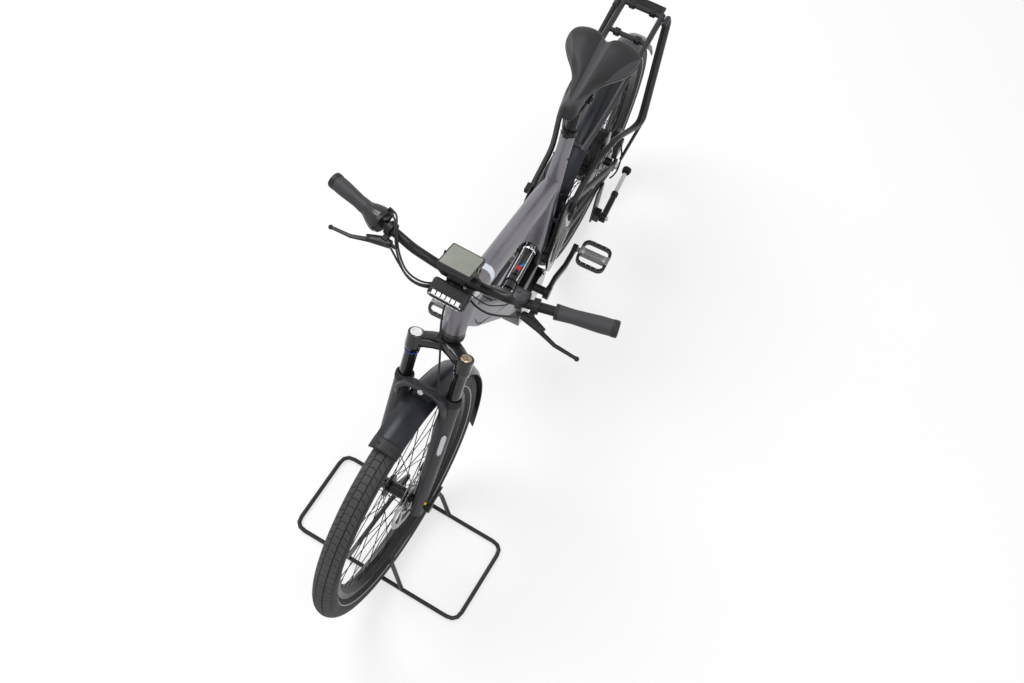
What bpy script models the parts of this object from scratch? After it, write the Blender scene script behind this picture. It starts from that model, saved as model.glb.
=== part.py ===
"""Electric bicycle with full suspension, hub gear, belt drive and pannier rack, in its wheel stand.

Units are metres, +X forward, +Y to the rider's left, +Z up. The origin lies on the floor, halfway
between the two axles. The steering is turned a little to the right, as the bicycle is parked, and the
kickstand is folded.
"""
import bmesh
import bpy
from math import acos, atan2, cos, hypot, pi, radians, sin, sqrt, tan
from mathutils import Matrix, Vector

# Wheels
WHEEL_BASE = 1.178
TYRE_RADIUS = 0.354
TYRE_WIDTH = 0.060
TYRE_HEIGHT = 0.056
RIM_WIDTH = 0.034
RIM_DEPTH = 0.030
RIM_NOSE_WIDTH = 0.012
WHEEL_STEPS = 40
SPOKE_RADIUS = 0.0011
SPOKE_STAGGER = 0.0026
SPOKE_PAIRS = 8
ROTOR_RADIUS = 0.090
ROTOR_BAND = 0.015
ROTOR_THICKNESS = 0.0018
ROTOR_BORE = 0.019
ROTOR_ARM_WIDTH = 0.009
ROTOR_BORE_STEPS = 24
HUB_FLANGE = 0.0035
CALIPER_LENGTH = 0.046
CALIPER_WIDTH = 0.022
CALIPER_HEIGHT = 0.028
CALIPER_BRIDGE = 0.010
CALIPER_ROUNDING = 0.004
PAD_GAP = 0.0015
CALIPER_MOUNT_DEPTH = 0.050
CALIPER_MOUNT_UP = 0.062
REAR_CALIPER_ANGLE = radians(128.0)
FRONT_CALIPER_ANGLE = radians(150.0)

# Fits
FIT_GAP = 0.0003
RUN_GAP = 0.0006
MERGE = 0.00001
OVERRUN = 0.006

# Steering geometry, heights along the steering axis from the point nearest the front axle
HEAD_ANGLE = radians(67.0)
FORK_OFFSET = 0.044
STEER_TURN = radians(-4.9)
LEG_OFFSET = 0.052
LEG_SPACING = 0.130
HEAD_BOTTOM = 0.500
HEAD_LENGTH = 0.140
HEAD_RADIUS_LOW = 0.029
HEAD_RADIUS_HIGH = 0.034
HEAD_BORE = 0.0165
STEERER_RADIUS = 0.0143
RING_HEIGHT = 0.006
SPACER_HEIGHT = 0.010

# Fork
CROWN_HEIGHT = 0.032
CROWN_DEPTH = 0.046
LEG_CAP_RISE = 0.002
LEG_CAP_RADIUS = 0.0200
STANCHION_RADIUS = 0.0160
LOWER_RADIUS = 0.0215
LOWER_TOP = 0.372
LOWER_FOOT_RADIUS = 0.018
LOWER_FOOT_DROP = 0.024
STANCHION_INSERT = 0.060
ARCH_HEIGHT = 0.389
ARCH_HALF_WIDTH = 0.0145
ARCH_HALF_THICKNESS = 0.0060
ARCH_SIDES = 12
ARCH_SQUARENESS = 4
FRONT_AXLE_RADIUS = 0.0075
FRONT_HUB_HALF = 0.0445
FRONT_FLANGE_RADIUS = 0.031
FRONT_FLANGE_Y = 0.026
FRONT_HUB_RADIUS = 0.016
FRONT_ROTOR_Y = 0.0375
AXLE_LEVER_LENGTH = 0.064

# Cockpit
STEM_HEIGHT = 0.042
STEM_RADIUS = 0.021
BAR_REACH = 0.066
BAR_RISE = 0.038
BAR_CLAMP_RADIUS = 0.0159
BAR_CLAMP_HALF = 0.030
BAR_RADIUS = 0.0111
BAR_HALF_WIDTH = 0.355
BAR_END_BACK = 0.050
BAR_END_UP = 0.026
BAR_FLAT_HALF = 0.055
BAR_BEND_Y = 0.115
BAR_SWEEP = 0.006
STEM_CLAMP_WALL = 0.007
GRIP_LENGTH = 0.132
RIGHT_GRIP_LENGTH = 0.106
GRIP_RADIUS = 0.0175
GRIP_WALL = 0.004
SHIFTER_LENGTH = 0.050
SHIFTER_RADIUS = 0.030
SHIFTER_LOOP_REACH = 0.020
SHIFTER_LOOP_RADIUS = 0.0045
LEVER_CLAMP_WIDTH = 0.014
LEVER_CLAMP_INSET = 0.1795
CLAMP_WALL = 0.006
LEVER_REACH = 0.130
LEVER_AHEAD = 0.076
LEVER_DROP = 0.038
LEVER_BALL_RADIUS = 0.006
REMOTE_INSET = 0.036
REMOTE_LENGTH = 0.040
REMOTE_WIDTH = 0.036
REMOTE_HEIGHT = 0.016
DISPLAY_WIDTH = 0.082
DISPLAY_LENGTH = 0.072
DISPLAY_THICKNESS = 0.016
DISPLAY_TILT = radians(14.0)
DISPLAY_RISE = 0.054
DISPLAY_EDGE = 0.004
DISPLAY_FOOT_LENGTH = 0.020
DISPLAY_FOOT_WIDTH = 0.030
LAMP_WIDTH = 0.092
LAMP_LENGTH = 0.044
LAMP_HEIGHT = 0.026
LAMP_TILT = radians(24.0)
LAMP_AHEAD = 0.044
LAMP_DROP = 0.013
LAMP_EDGE = 0.008

# Frame, places measured from the rear axle
CRANK_AHEAD = 0.450
CRANK_DROP = 0.055
SEAT_ANGLE = radians(72.0)
SEAT_TUBE_LENGTH = 0.520
SEAT_TUBE_RADIUS = 0.0200
SEATPOST_RADIUS = 0.0155
SEATPOST_SHOW = 0.118
SEATPOST_INSERT = 0.100
COLLAR_HEIGHT = 0.014
COLLAR_WALL = 0.005
SEAT_LOW_HALF_WIDTH = 0.032
SEAT_LOW_HALF_DEPTH = 0.022
CRADLE_HALF_HEIGHT = 0.012
TOP_TUBE_DROP = 0.040
TOP_TUBE_HALF_WIDTH = 0.027
TOP_TUBE_HALF_HEIGHT = 0.030
TOP_TUBE_SEAT_SHARE = 0.69
DOWN_TUBE_HALF_WIDTH = 0.041
DOWN_TUBE_HALF_HEIGHT = 0.034
DOWN_TUBE_FOOT_AHEAD = 0.130
DOWN_TUBE_FOOT_UP = 0.098
DOWN_TUBE_HEAD_SHARE = 0.42
COVER_THICKNESS = 0.003
COVER_HALF_WIDTH = 0.030

# Motor and drive
MOTOR_HALF_WIDTH = 0.050
MOTOR_REAR_RADIUS = 0.056
MOTOR_FRONT = 0.126
MOTOR_TOP = 0.070
MOTOR_BOTTOM = 0.052
SPINDLE_RADIUS = 0.012
CRANK_LENGTH = 0.170
CRANK_ARM_Y = 0.079
CRANK_ARM_HALF_WIDTH = 0.007
CRANK_BOSS_RADIUS = 0.019
CRANK_BEND = 0.009
PEDAL_BOSS_RADIUS = 0.013
BELT_Y = 0.062
BELT_WIDTH = 0.010
BELT_THICKNESS = 0.0032
FRONT_SPROCKET_TEETH = 48
REAR_SPROCKET_TEETH = 24
BELT_PITCH = 0.011
SPROCKET_BAND = 0.009
SPROCKET_ARM_HALF = 0.007
PEDAL_LENGTH = 0.086
PEDAL_WIDTH = 0.088
PEDAL_HEIGHT = 0.020
PEDAL_FROM_CRANK = 0.007

# Swingarm, rear wheel and shock
DROPOUT_Y = 0.078
DROPOUT_THICKNESS = 0.010
DROPOUT_RADIUS = 0.020
REAR_AXLE_RADIUS = 0.006
REAR_HUB_HALF = 0.0690
REAR_DRUM_RADIUS = 0.082
REAR_DRUM_HALF = 0.034
REAR_ROTOR_Y = 0.052
REAR_SLEEVE_RADIUS = 0.017
STAY_Y = 0.046
STAY_HALF_WIDTH = 0.007
STAY_HALF_HEIGHT = 0.011
STAY_BEND_SHARE = 0.43
PIVOT_AHEAD = 0.395
PIVOT_UP = 0.021
PIVOT_RADIUS = 0.015
YOKE_AHEAD = 0.352
YOKE_UP = 0.196
YOKE_HALF_DEPTH = 0.020
YOKE_PLATE = 0.009
SHOCK_UP = 0.080
SHOCK_REAR_AHEAD = 0.372
SHOCK_FRONT_AHEAD = 0.572
SHOCK_RADIUS = 0.0185
SHOCK_SHAFT_RADIUS = 0.007
SHOCK_EYE_RADIUS = 0.0095
SHOCK_TUNNEL_RADIUS = 0.0250

# Mudguards
GUARD_CLEARANCE = 0.0095
GUARD_THICKNESS = 0.0022
GUARD_HALF_WIDTH = 0.036
GUARD_DEPTH = 0.016
GUARD_STEPS = 24
BRIDGE_LENGTH = 0.026
BRIDGE_WIDTH = 0.040
FRONT_GUARD_FROM = radians(80.0)
FRONT_GUARD_TO = radians(206.0)
REAR_GUARD_FROM = radians(9.0)
REAR_GUARD_TO = radians(160.0)

# Saddle
SADDLE_LENGTH = 0.270
SADDLE_HALF_WIDTH = 0.095
SADDLE_HEIGHT = 0.044
SADDLE_NOSE_SHARE = 0.40
SADDLE_RAIL_LIFT = 0.0205
RAIL_RADIUS = 0.0035
RAIL_HALF_SPACING = 0.022
RAIL_BEND = 0.030

# Rack, places measured from the rear axle
RACK_RADIUS = 0.008
RACK_UP = 0.411
RACK_HALF_WIDTH = 0.056
RACK_BACK = 0.215
RACK_BAR_BACK = 0.100
RACK_KNEE_AHEAD = 0.150
RACK_KNEE_DROP = 0.056
RACK_END_AHEAD = 0.228
RACK_END_DROP = 0.098
LOOP_HALF_WIDTH = 0.113
LOOP_CORNER_BACK = 0.045
LOOP_CORNER_UP = 0.166
LOOP_SPACING = 0.017
LOOP_BEND = 0.030
LAMP_REAR_WIDTH = 0.080
LAMP_REAR_HEIGHT = 0.030
LAMP_REAR_DEPTH = 0.014
TAIL_PLATE_LENGTH = 0.036
TAIL_PLATE_THICKNESS = 0.007

# Kickstand, places measured from the rear axle
KICK_AHEAD = 0.1025
KICK_DROP = 0.119
KICK_Y = 0.109
KICK_LENGTH = 0.197
KICK_RISE = -0.010
KICK_RADIUS = 0.009
KICK_OUT = -0.006
KICK_EYE_HALF = 0.0085
KICK_BASE_LENGTH = 0.050
KICK_BASE_THICKNESS = 0.006
KICK_ARM_LENGTH = 0.030
KICK_ARM_HEIGHT = 0.034
KICK_FOOT = 0.014
KICK_EYE_RADIUS = 0.015
KICK_PIN_RADIUS = 0.005

# Wheel stand, places measured from the front axle
STAND_RADIUS = 0.006
STAND_HALF_SPREAD = 0.255
STAND_BACK = 0.130
STAND_FRONT = 0.116
STAND_GRIP_GAP = 0.0095
STAND_HOOP_REAR_HEIGHT = 0.140
STAND_HOOP_FRONT_HEIGHT = 0.200
STAND_CORNER = 0.030
STAND_FOOT_SPLAY = 0.040

# Derived places
RIM_FLANGE_RADIUS = TYRE_RADIUS - TYRE_HEIGHT
REAR_AXLE = Vector((-WHEEL_BASE / 2, 0, TYRE_RADIUS))
FRONT_AXLE = Vector((WHEEL_BASE / 2, 0, TYRE_RADIUS))
CRANK_CENTRE = REAR_AXLE + Vector((CRANK_AHEAD, 0, -CRANK_DROP))
STEER_UP = Vector((-cos(HEAD_ANGLE), 0, sin(HEAD_ANGLE)))
STEER_AHEAD = Vector((sin(HEAD_ANGLE), 0, cos(HEAD_ANGLE)))
STEER_ORIGIN = FRONT_AXLE - STEER_AHEAD * FORK_OFFSET
HEAD_TOP = HEAD_BOTTOM + HEAD_LENGTH
STEM_BOTTOM = HEAD_TOP + RING_HEIGHT + FIT_GAP + SPACER_HEIGHT
LEG_Y = LEG_SPACING / 2
SEAT_UP = Vector((-cos(SEAT_ANGLE), 0, sin(SEAT_ANGLE)))
GUARD_RADIUS = TYRE_RADIUS + GUARD_CLEARANCE
LEFT = Vector((0, 1, 0))
FORWARD = Vector((1, 0, 0))

parts = bpy.data.collections.new("electric_bicycle")
cutters = bpy.data.collections.new("cutters")
materials = {}


def clear_scene():
    """Remove every object that the file opens with."""
    for obj in list(bpy.data.objects):
        bpy.data.objects.remove(obj)
    bpy.context.scene.collection.children.link(parts)
    bpy.context.scene.collection.children.link(cutters)


def material(name, colour, roughness, metallic=0.0):
    """Make a Principled material once and hand back the same one after that."""
    if name not in materials:
        made = bpy.data.materials.new(name)
        made.use_nodes = True
        shader = made.node_tree.nodes["Principled BSDF"]
        shader.inputs["Base Color"].default_value = (*colour, 1)
        shader.inputs["Roughness"].default_value = roughness
        shader.inputs["Metallic"].default_value = metallic
        materials[name] = made
    return materials[name]


def frame_paint():
    return material("gunmetal_paint", (0.135, 0.125, 0.150), 0.42, 0.55)


def black_paint():
    return material("black_paint", (0.018, 0.018, 0.020), 0.30, 0.20)


def anthracite():
    return material("anthracite_powder", (0.045, 0.046, 0.050), 0.55, 0.30)


def black_plastic():
    return material("black_plastic", (0.022, 0.022, 0.024), 0.50)


def rubber():
    return material("rubber", (0.020, 0.020, 0.021), 0.85)


def bare_steel():
    return material("steel", (0.56, 0.57, 0.58), 0.28, 1.0)


def finish(obj, name, finish_material, parent=None):
    """Name a sub-part, give it its material and shading, and hang it on its parent where it lies."""
    obj.name = name
    obj.data.name = name
    obj.data.materials.clear()
    obj.data.materials.append(finish_material)
    obj.data.shade_smooth()
    obj.data.set_sharp_from_angle(angle=radians(38.0))
    for collection in list(obj.users_collection):
        collection.objects.unlink(obj)
    parts.objects.link(obj)
    if parent is not None:
        bpy.context.view_layer.update()
        world = obj.matrix_world.copy()
        obj.parent = parent
        obj.matrix_parent_inverse = Matrix.Identity(4)
        obj.matrix_basis = parent.matrix_world.inverted() @ world
    return obj


def bake(obj):
    """Turn an object with its modifiers, or a curve, into a plain mesh with its caps welded."""
    bpy.context.view_layer.update()
    evaluated = obj.evaluated_get(bpy.context.evaluated_depsgraph_get())
    mesh = bpy.data.meshes.new_from_object(evaluated)
    shape = bmesh.new()
    shape.from_mesh(mesh)
    bmesh.ops.remove_doubles(shape, verts=shape.verts, dist=MERGE)
    bmesh.ops.recalc_face_normals(shape, faces=shape.faces)
    shape.to_mesh(mesh)
    shape.free()
    solid = bpy.data.objects.new(obj.name, mesh)
    solid.matrix_world = obj.matrix_world
    cutters.objects.link(solid)
    bpy.data.objects.remove(obj)
    return solid


def new_object(name, data):
    obj = bpy.data.objects.new(name, data)
    cutters.objects.link(obj)
    return obj


def boolean(base, tool, operation):
    """Join or cut one solid with another and bake the result."""
    tool.hide_render = True
    tool.display_type = "WIRE"
    modifier = base.modifiers.new("boolean", "BOOLEAN")
    modifier.operation = operation
    modifier.solver = "EXACT"
    modifier.object = tool
    result = bake(base)
    bpy.data.objects.remove(tool)
    return result


def join(base, *others):
    for other in others:
        base = boolean(base, other, "UNION")
    return base


def cut(base, *tools):
    for tool in tools:
        base = boolean(base, tool, "DIFFERENCE")
    return base


def cylinder(radius, start, end, sides=16, end_radius=None):
    """A closed cylinder or cone between two points."""
    start = Vector(start)
    end = Vector(end)
    mesh = bpy.data.meshes.new("cylinder")
    shape = bmesh.new()
    bmesh.ops.create_cone(shape, cap_ends=True, segments=sides, radius1=radius,
                          radius2=radius if end_radius is None else end_radius,
                          depth=(end - start).length)
    shape.to_mesh(mesh)
    shape.free()
    obj = new_object("cylinder", mesh)
    obj.location = (start + end) / 2
    obj.rotation_mode = "QUATERNION"
    obj.rotation_quaternion = (end - start).to_track_quat("Z", "Y")
    return bake(obj)


def block(size, centre, rotation=(0, 0, 0), rounding=0, segments=2):
    """A box of the given size, with its edges rounded where a rounding is given."""
    bpy.ops.mesh.primitive_cube_add(size=1)
    obj = bpy.context.active_object
    obj.data.transform(Matrix.Diagonal((*size, 1)))
    obj.location = centre
    obj.rotation_euler = rotation
    if rounding:
        bevel = obj.modifiers.new("edges", "BEVEL")
        bevel.width = rounding
        bevel.segments = segments
        bevel.limit_method = "NONE"
    return bake(obj)


def plate(outline, thickness, holes=()):
    """A flat outline in X and Z with holes, standing across Y with its middle on the plane."""
    curve = bpy.data.curves.new("plate", "CURVE")
    curve.dimensions = "2D"
    curve.fill_mode = "BOTH"
    curve.extrude = thickness / 2
    for loop in (outline, *holes):
        spline = curve.splines.new("POLY")
        spline.points.add(len(loop) - 1)
        for point, (x, z) in zip(spline.points, loop):
            point.co = (x, z, 0, 1)
        spline.use_cyclic_u = True
    obj = new_object("plate", curve)
    obj.rotation_euler = (pi / 2, 0, 0)
    return bake(obj)


def arc(centre, radius, start, end, steps):
    """Points on an arc in a plane, ends included."""
    return [(centre[0] + radius * cos(start + (end - start) * i / steps),
             centre[1] + radius * sin(start + (end - start) * i / steps)) for i in range(steps + 1)]


def ring(centre, radius, steps):
    return arc(centre, radius, 0, 2 * pi * (steps - 1) / steps, steps - 1)


def turned(profile, steps=32, centre=(0, 0, 0), axis=LEFT):
    """Turn a closed profile of (radius, height) points about an axis; height runs along it."""
    mesh = bpy.data.meshes.new("turned")
    count = len(profile)
    mesh.from_pydata([(radius, 0, height) for radius, height in profile],
                     [(i, (i + 1) % count) for i in range(count)], [])
    obj = new_object("turned", mesh)
    screw = obj.modifiers.new("turn", "SCREW")
    screw.steps = steps
    screw.render_steps = steps
    screw.use_merge_vertices = True
    screw.merge_threshold = MERGE
    obj.location = centre
    obj.rotation_mode = "QUATERNION"
    obj.rotation_quaternion = Vector(axis).to_track_quat("Z", "X")
    return bake(obj)


def rounded_path(corners, bend, steps=3):
    """A path through corner points with each inner corner replaced by a smooth bend."""
    points = [Vector(corners[0])]
    for before, corner, after in zip(corners, corners[1:], corners[2:]):
        before, corner, after = Vector(before), Vector(corner), Vector(after)
        reach = min(bend, (corner - before).length * 0.45, (after - corner).length * 0.45)
        start = corner + (before - corner).normalized() * reach
        end = corner + (after - corner).normalized() * reach
        for i in range(steps + 1):
            share = i / steps
            points.append(start.lerp(corner, share).lerp(corner.lerp(end, share), share))
    points.append(Vector(corners[-1]))
    return points


def tube(points, radius, sides=2, closed=False, radii=None):
    """A round bar along a path of points."""
    curve = bpy.data.curves.new("tube", "CURVE")
    curve.dimensions = "3D"
    curve.bevel_depth = radius
    curve.bevel_resolution = sides
    curve.use_fill_caps = not closed
    spline = curve.splines.new("POLY")
    spline.points.add(len(points) - 1)
    for i, (point, place) in enumerate(zip(spline.points, points)):
        point.co = (*place, 1)
        point.radius = 1 if radii is None else radii[i] / radius
    spline.use_cyclic_u = closed
    return bake(new_object("tube", curve))


def oval(half_width, half_height, sides, squareness):
    """Points of a closed section between an ellipse (squareness 2) and a rounded box."""
    points = []
    for k in range(sides):
        angle = 2 * pi * k / sides
        wide = abs(cos(angle)) ** (2 / squareness) * (1 if cos(angle) >= 0 else -1)
        high = abs(sin(angle)) ** (2 / squareness) * (1 if sin(angle) >= 0 else -1)
        points.append((half_width * wide, half_height * high))
    return points


def loft(stations, sides=16, squareness=2.6, toward=LEFT, facing=None):
    """A bar of changing oval section; stations are (centre, half width toward a side, half height)."""
    centres = [Vector(station[0]) for station in stations]
    shape = bmesh.new()
    loops = []
    for i, (_, half_width, half_height) in enumerate(stations):
        before = centres[max(i - 1, 0)]
        after = centres[min(i + 1, len(centres) - 1)]
        along = facing or (after - before).normalized()
        sideways = (toward - along * along.dot(toward)).normalized()
        upward = along.cross(sideways)
        loops.append([shape.verts.new(centres[i] + sideways * wide + upward * high)
                      for wide, high in oval(half_width, half_height, sides, squareness)])
    for first, second in zip(loops, loops[1:]):
        for k in range(sides):
            m = (k + 1) % sides
            shape.faces.new((first[k], first[m], second[m], second[k]))
    shape.faces.new(loops[0][::-1])
    shape.faces.new(loops[-1])
    mesh = bpy.data.meshes.new("loft")
    shape.to_mesh(mesh)
    shape.free()
    return bake(new_object("loft", mesh))


def bore_radius(radius, sides=16):
    """Radius of a faceted bore that keeps the fit gap to a round bar in it."""
    return (radius + FIT_GAP) / cos(pi / sides)


def mirrored(obj):
    """A copy of a solid on the other side of the bicycle's middle plane."""
    copy = new_object(obj.name, obj.data.copy())
    copy.matrix_world = obj.matrix_world.copy()
    copy.data.transform(obj.matrix_world)
    copy.matrix_world = Matrix.Identity(4)
    copy.data.transform(Matrix.Diagonal((1, -1, 1, 1)))
    return bake(copy)


def empty(name, location, rotation=(0, 0, 0), parent=None):
    """A joint's pivot, with the pieces that it carries as its children."""
    obj = bpy.data.objects.new(name, None)
    parts.objects.link(obj)
    obj.location = location
    obj.rotation_euler = rotation
    bpy.context.view_layer.update()
    if parent is not None:
        world = obj.matrix_world.copy()
        obj.parent = parent
        obj.matrix_basis = parent.matrix_world.inverted() @ world
        bpy.context.view_layer.update()
    return obj


def steer(ahead, left, up):
    """A point given along the steering axis: ahead of it, to the left and up from its origin."""
    return STEER_ORIGIN + STEER_AHEAD * ahead + LEFT * left + STEER_UP * up


def rear(ahead, left, up):
    """A point given from the rear axle."""
    return REAR_AXLE + Vector((ahead, left, up))


def seat(up, ahead=0):
    """A point up the seat tube from the crank, and square ahead of it."""
    return CRANK_CENTRE + SEAT_UP * up + Vector((SEAT_UP.z, 0, -SEAT_UP.x)) * ahead


def across(centre, left, right):
    """Two points on a line across the bicycle through a centre."""
    return centre + LEFT * left, centre + LEFT * right


def tyre(axle):
    half = TYRE_WIDTH / 2
    middle = TYRE_RADIUS - half
    inner = RIM_FLANGE_RADIUS + FIT_GAP
    reach = acos((inner - middle) / half)
    steps = 10
    profile = [(middle + half * cos(reach - 2 * reach * i / steps),
                half * sin(reach - 2 * reach * i / steps)) for i in range(steps + 1)]
    return turned(profile, WHEEL_STEPS, axle)


def rim(axle):
    half = RIM_WIDTH / 2
    nose = RIM_NOSE_WIDTH / 2
    wall = RIM_FLANGE_RADIUS - RIM_DEPTH / 2
    floor = RIM_FLANGE_RADIUS - RIM_DEPTH
    profile = [(RIM_FLANGE_RADIUS, half), (RIM_FLANGE_RADIUS, -half), (wall, -half),
               (floor, -nose), (floor, nose), (wall, half)]
    return turned(profile, WHEEL_STEPS, axle)


def spokes(axle, flange_radius, flange_y, crossing):
    """Crossed spokes from both flanges, as one mesh of separate bars to be joined to the hub."""
    count = 4 * SPOKE_PAIRS
    end_radius = (RIM_FLANGE_RADIUS - RIM_DEPTH) * cos(pi / WHEEL_STEPS) - FIT_GAP - SPOKE_RADIUS / 5
    shape = bmesh.new()
    for i in range(count):
        side = 1 if i % 2 == 0 else -1
        lean = 1 if (i // 2) % 2 == 0 else -1
        rim_angle = 2 * pi * i / count
        hub_angle = rim_angle + lean * crossing
        sunk = flange_radius - 4 * SPOKE_RADIUS
        start = Vector((sunk * cos(hub_angle), side * (flange_y + lean * SPOKE_STAGGER / 2),
                        sunk * sin(hub_angle)))
        end = Vector((end_radius * cos(rim_angle), side * RIM_NOSE_WIDTH / 6, end_radius * sin(rim_angle)))
        turn = (end - start).to_track_quat("Z", "Y").to_matrix().to_4x4()
        place = Matrix.Translation((start + end) / 2) @ turn
        bmesh.ops.create_cone(shape, cap_ends=True, segments=4, radius1=SPOKE_RADIUS, radius2=SPOKE_RADIUS,
                              depth=(end - start).length, matrix=place)
    mesh = bpy.data.meshes.new("spokes")
    shape.to_mesh(mesh)
    shape.free()
    obj = new_object("spokes", mesh)
    obj.location = axle
    return bake(obj)


def rotor(axle, y):
    """A brake disc with six arms between its band and its hub seat."""
    band = ROTOR_RADIUS - ROTOR_BAND
    seat_radius = ROTOR_BORE + ROTOR_BAND / 2
    windows = []
    for i in range(6):
        middle = 2 * pi * (i + 0.5) / 6
        wide = pi / 6 - ROTOR_ARM_WIDTH / 2 / band
        slim = pi / 6 - ROTOR_ARM_WIDTH / 2 / seat_radius
        windows.append(arc((0, 0), band, middle - wide, middle + wide, 5)
                       + arc((0, 0), seat_radius, middle + slim, middle - slim, 3))
    disc = plate(ring((0, 0), ROTOR_RADIUS, 36), ROTOR_THICKNESS,
                 [*windows, ring((0, 0), ROTOR_BORE, ROTOR_BORE_STEPS)])
    disc.location = axle + LEFT * y
    return disc


def rotor_seat(y, end_radius, seat_radius):
    """Hub profile from its left end to the shoulder that the brake disc lies against."""
    outer = y + ROTOR_THICKNESS
    inner = y - ROTOR_THICKNESS / 2 - FIT_GAP
    return [(end_radius, outer), (seat_radius, outer), (seat_radius, inner),
            (ROTOR_BORE + HUB_FLANGE, inner), (ROTOR_BORE + HUB_FLANGE, inner - HUB_FLANGE)]


def wheels(front_wheel, rear_wheel):
    for name, axle, parent in (("front", FRONT_AXLE, front_wheel), ("rear", REAR_AXLE, rear_wheel)):
        finish(tyre(axle), f"{name}_tyre", rubber(), parent)
        finish(rim(axle), f"{name}_rim", material("rim_black", (0.020, 0.020, 0.021), 0.38, 0.6), parent)
    hub_metal = material("hub_black", (0.028, 0.028, 0.030), 0.34, 0.7)
    seat_radius = ROTOR_BORE * cos(pi / ROTOR_BORE_STEPS) - FIT_GAP
    bore = FRONT_AXLE_RADIUS + RUN_GAP
    barrel = FRONT_HUB_RADIUS
    end = barrel * 0.8
    right = [(barrel, -FRONT_FLANGE_Y + 2 * HUB_FLANGE),
             (FRONT_FLANGE_RADIUS, -FRONT_FLANGE_Y + HUB_FLANGE),
             (FRONT_FLANGE_RADIUS, -FRONT_FLANGE_Y - HUB_FLANGE),
             (barrel, -FRONT_FLANGE_Y - 2 * HUB_FLANGE),
             (end, -FRONT_HUB_HALF), (bore, -FRONT_HUB_HALF)]
    left = [(bore, FRONT_HUB_HALF), (end, FRONT_HUB_HALF), *rotor_seat(FRONT_ROTOR_Y, end, seat_radius),
            (FRONT_FLANGE_RADIUS, FRONT_FLANGE_Y + HUB_FLANGE),
            (FRONT_FLANGE_RADIUS, FRONT_FLANGE_Y - HUB_FLANGE),
            (barrel, FRONT_FLANGE_Y - 2 * HUB_FLANGE)]
    hub = join(turned(left + right, 16, FRONT_AXLE),
               spokes(FRONT_AXLE, FRONT_FLANGE_RADIUS, FRONT_FLANGE_Y, radians(66.0)))
    finish(hub, "front_hub", hub_metal, front_wheel)
    bore = REAR_AXLE_RADIUS + RUN_GAP
    drum = [(REAR_DRUM_RADIUS * 0.86, REAR_DRUM_HALF), (REAR_DRUM_RADIUS, REAR_DRUM_HALF - 2 * HUB_FLANGE)]
    right = [(radius, -y) for radius, y in reversed(drum)]
    right += [(REAR_SLEEVE_RADIUS * 2, -REAR_DRUM_HALF - HUB_FLANGE),
              (REAR_SLEEVE_RADIUS, -REAR_DRUM_HALF - 3 * HUB_FLANGE),
              (REAR_SLEEVE_RADIUS, -REAR_HUB_HALF), (bore, -REAR_HUB_HALF)]
    left = [(bore, REAR_HUB_HALF), (end, REAR_HUB_HALF), *rotor_seat(REAR_ROTOR_Y, end, seat_radius),
            (REAR_SLEEVE_RADIUS * 2, REAR_DRUM_HALF + HUB_FLANGE), *drum]
    hub = join(turned(left + right, 24, REAR_AXLE),
               spokes(REAR_AXLE, REAR_DRUM_RADIUS, REAR_DRUM_HALF - 3 * HUB_FLANGE, radians(36.0)))
    finish(hub, "rear_hub", hub_metal, rear_wheel)
    steel = material("rotor_steel", (0.50, 0.50, 0.51), 0.30, 1.0)
    finish(rotor(FRONT_AXLE, FRONT_ROTOR_Y), "front_rotor", steel, front_wheel)
    finish(rotor(REAR_AXLE, REAR_ROTOR_Y), "rear_rotor", steel, rear_wheel)


def top_tube():
    """Oval tube from the head that narrows where it runs into the seat tube."""
    front = steer(-HEAD_RADIUS_HIGH / 2, 0, HEAD_TOP - TOP_TUBE_DROP)
    back = seat(SEAT_TUBE_LENGTH * TOP_TUBE_SEAT_SHARE)
    wide, high = TOP_TUBE_HALF_WIDTH, TOP_TUBE_HALF_HEIGHT
    return loft([(front, wide, high), (front.lerp(back, 0.2), wide, high),
                 (front.lerp(back, 0.5), wide, high),
                 (front.lerp(back, 0.8), wide, high * 0.95),
                 (front.lerp(back, 0.92), wide * 0.92, high * 0.9),
                 (back, wide * 0.7, high * 0.8)], squareness=2.4)


def down_tube_ends():
    """Middle of the down tube's section at the head and above the motor."""
    front = steer(-HEAD_RADIUS_LOW / 2, 0, HEAD_BOTTOM + HEAD_LENGTH * DOWN_TUBE_HEAD_SHARE)
    return front, CRANK_CENTRE + Vector((DOWN_TUBE_FOOT_AHEAD, 0, DOWN_TUBE_FOOT_UP))


def down_tube():
    """Broad square tube that holds the battery and slims towards the head."""
    front, foot = down_tube_ends()
    wide, high = DOWN_TUBE_HALF_WIDTH, DOWN_TUBE_HALF_HEIGHT
    return loft([(front, wide * 0.66, high * 0.75), (front.lerp(foot, 0.18), wide * 0.92, high),
                 (front.lerp(foot, 0.85), wide, high), (foot, wide, high * 0.9)], squareness=4)


def cradle_height():
    """Height of the middle of the plate that the motor hangs from."""
    return MOTOR_TOP + FIT_GAP + CRADLE_HALF_HEIGHT


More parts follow.
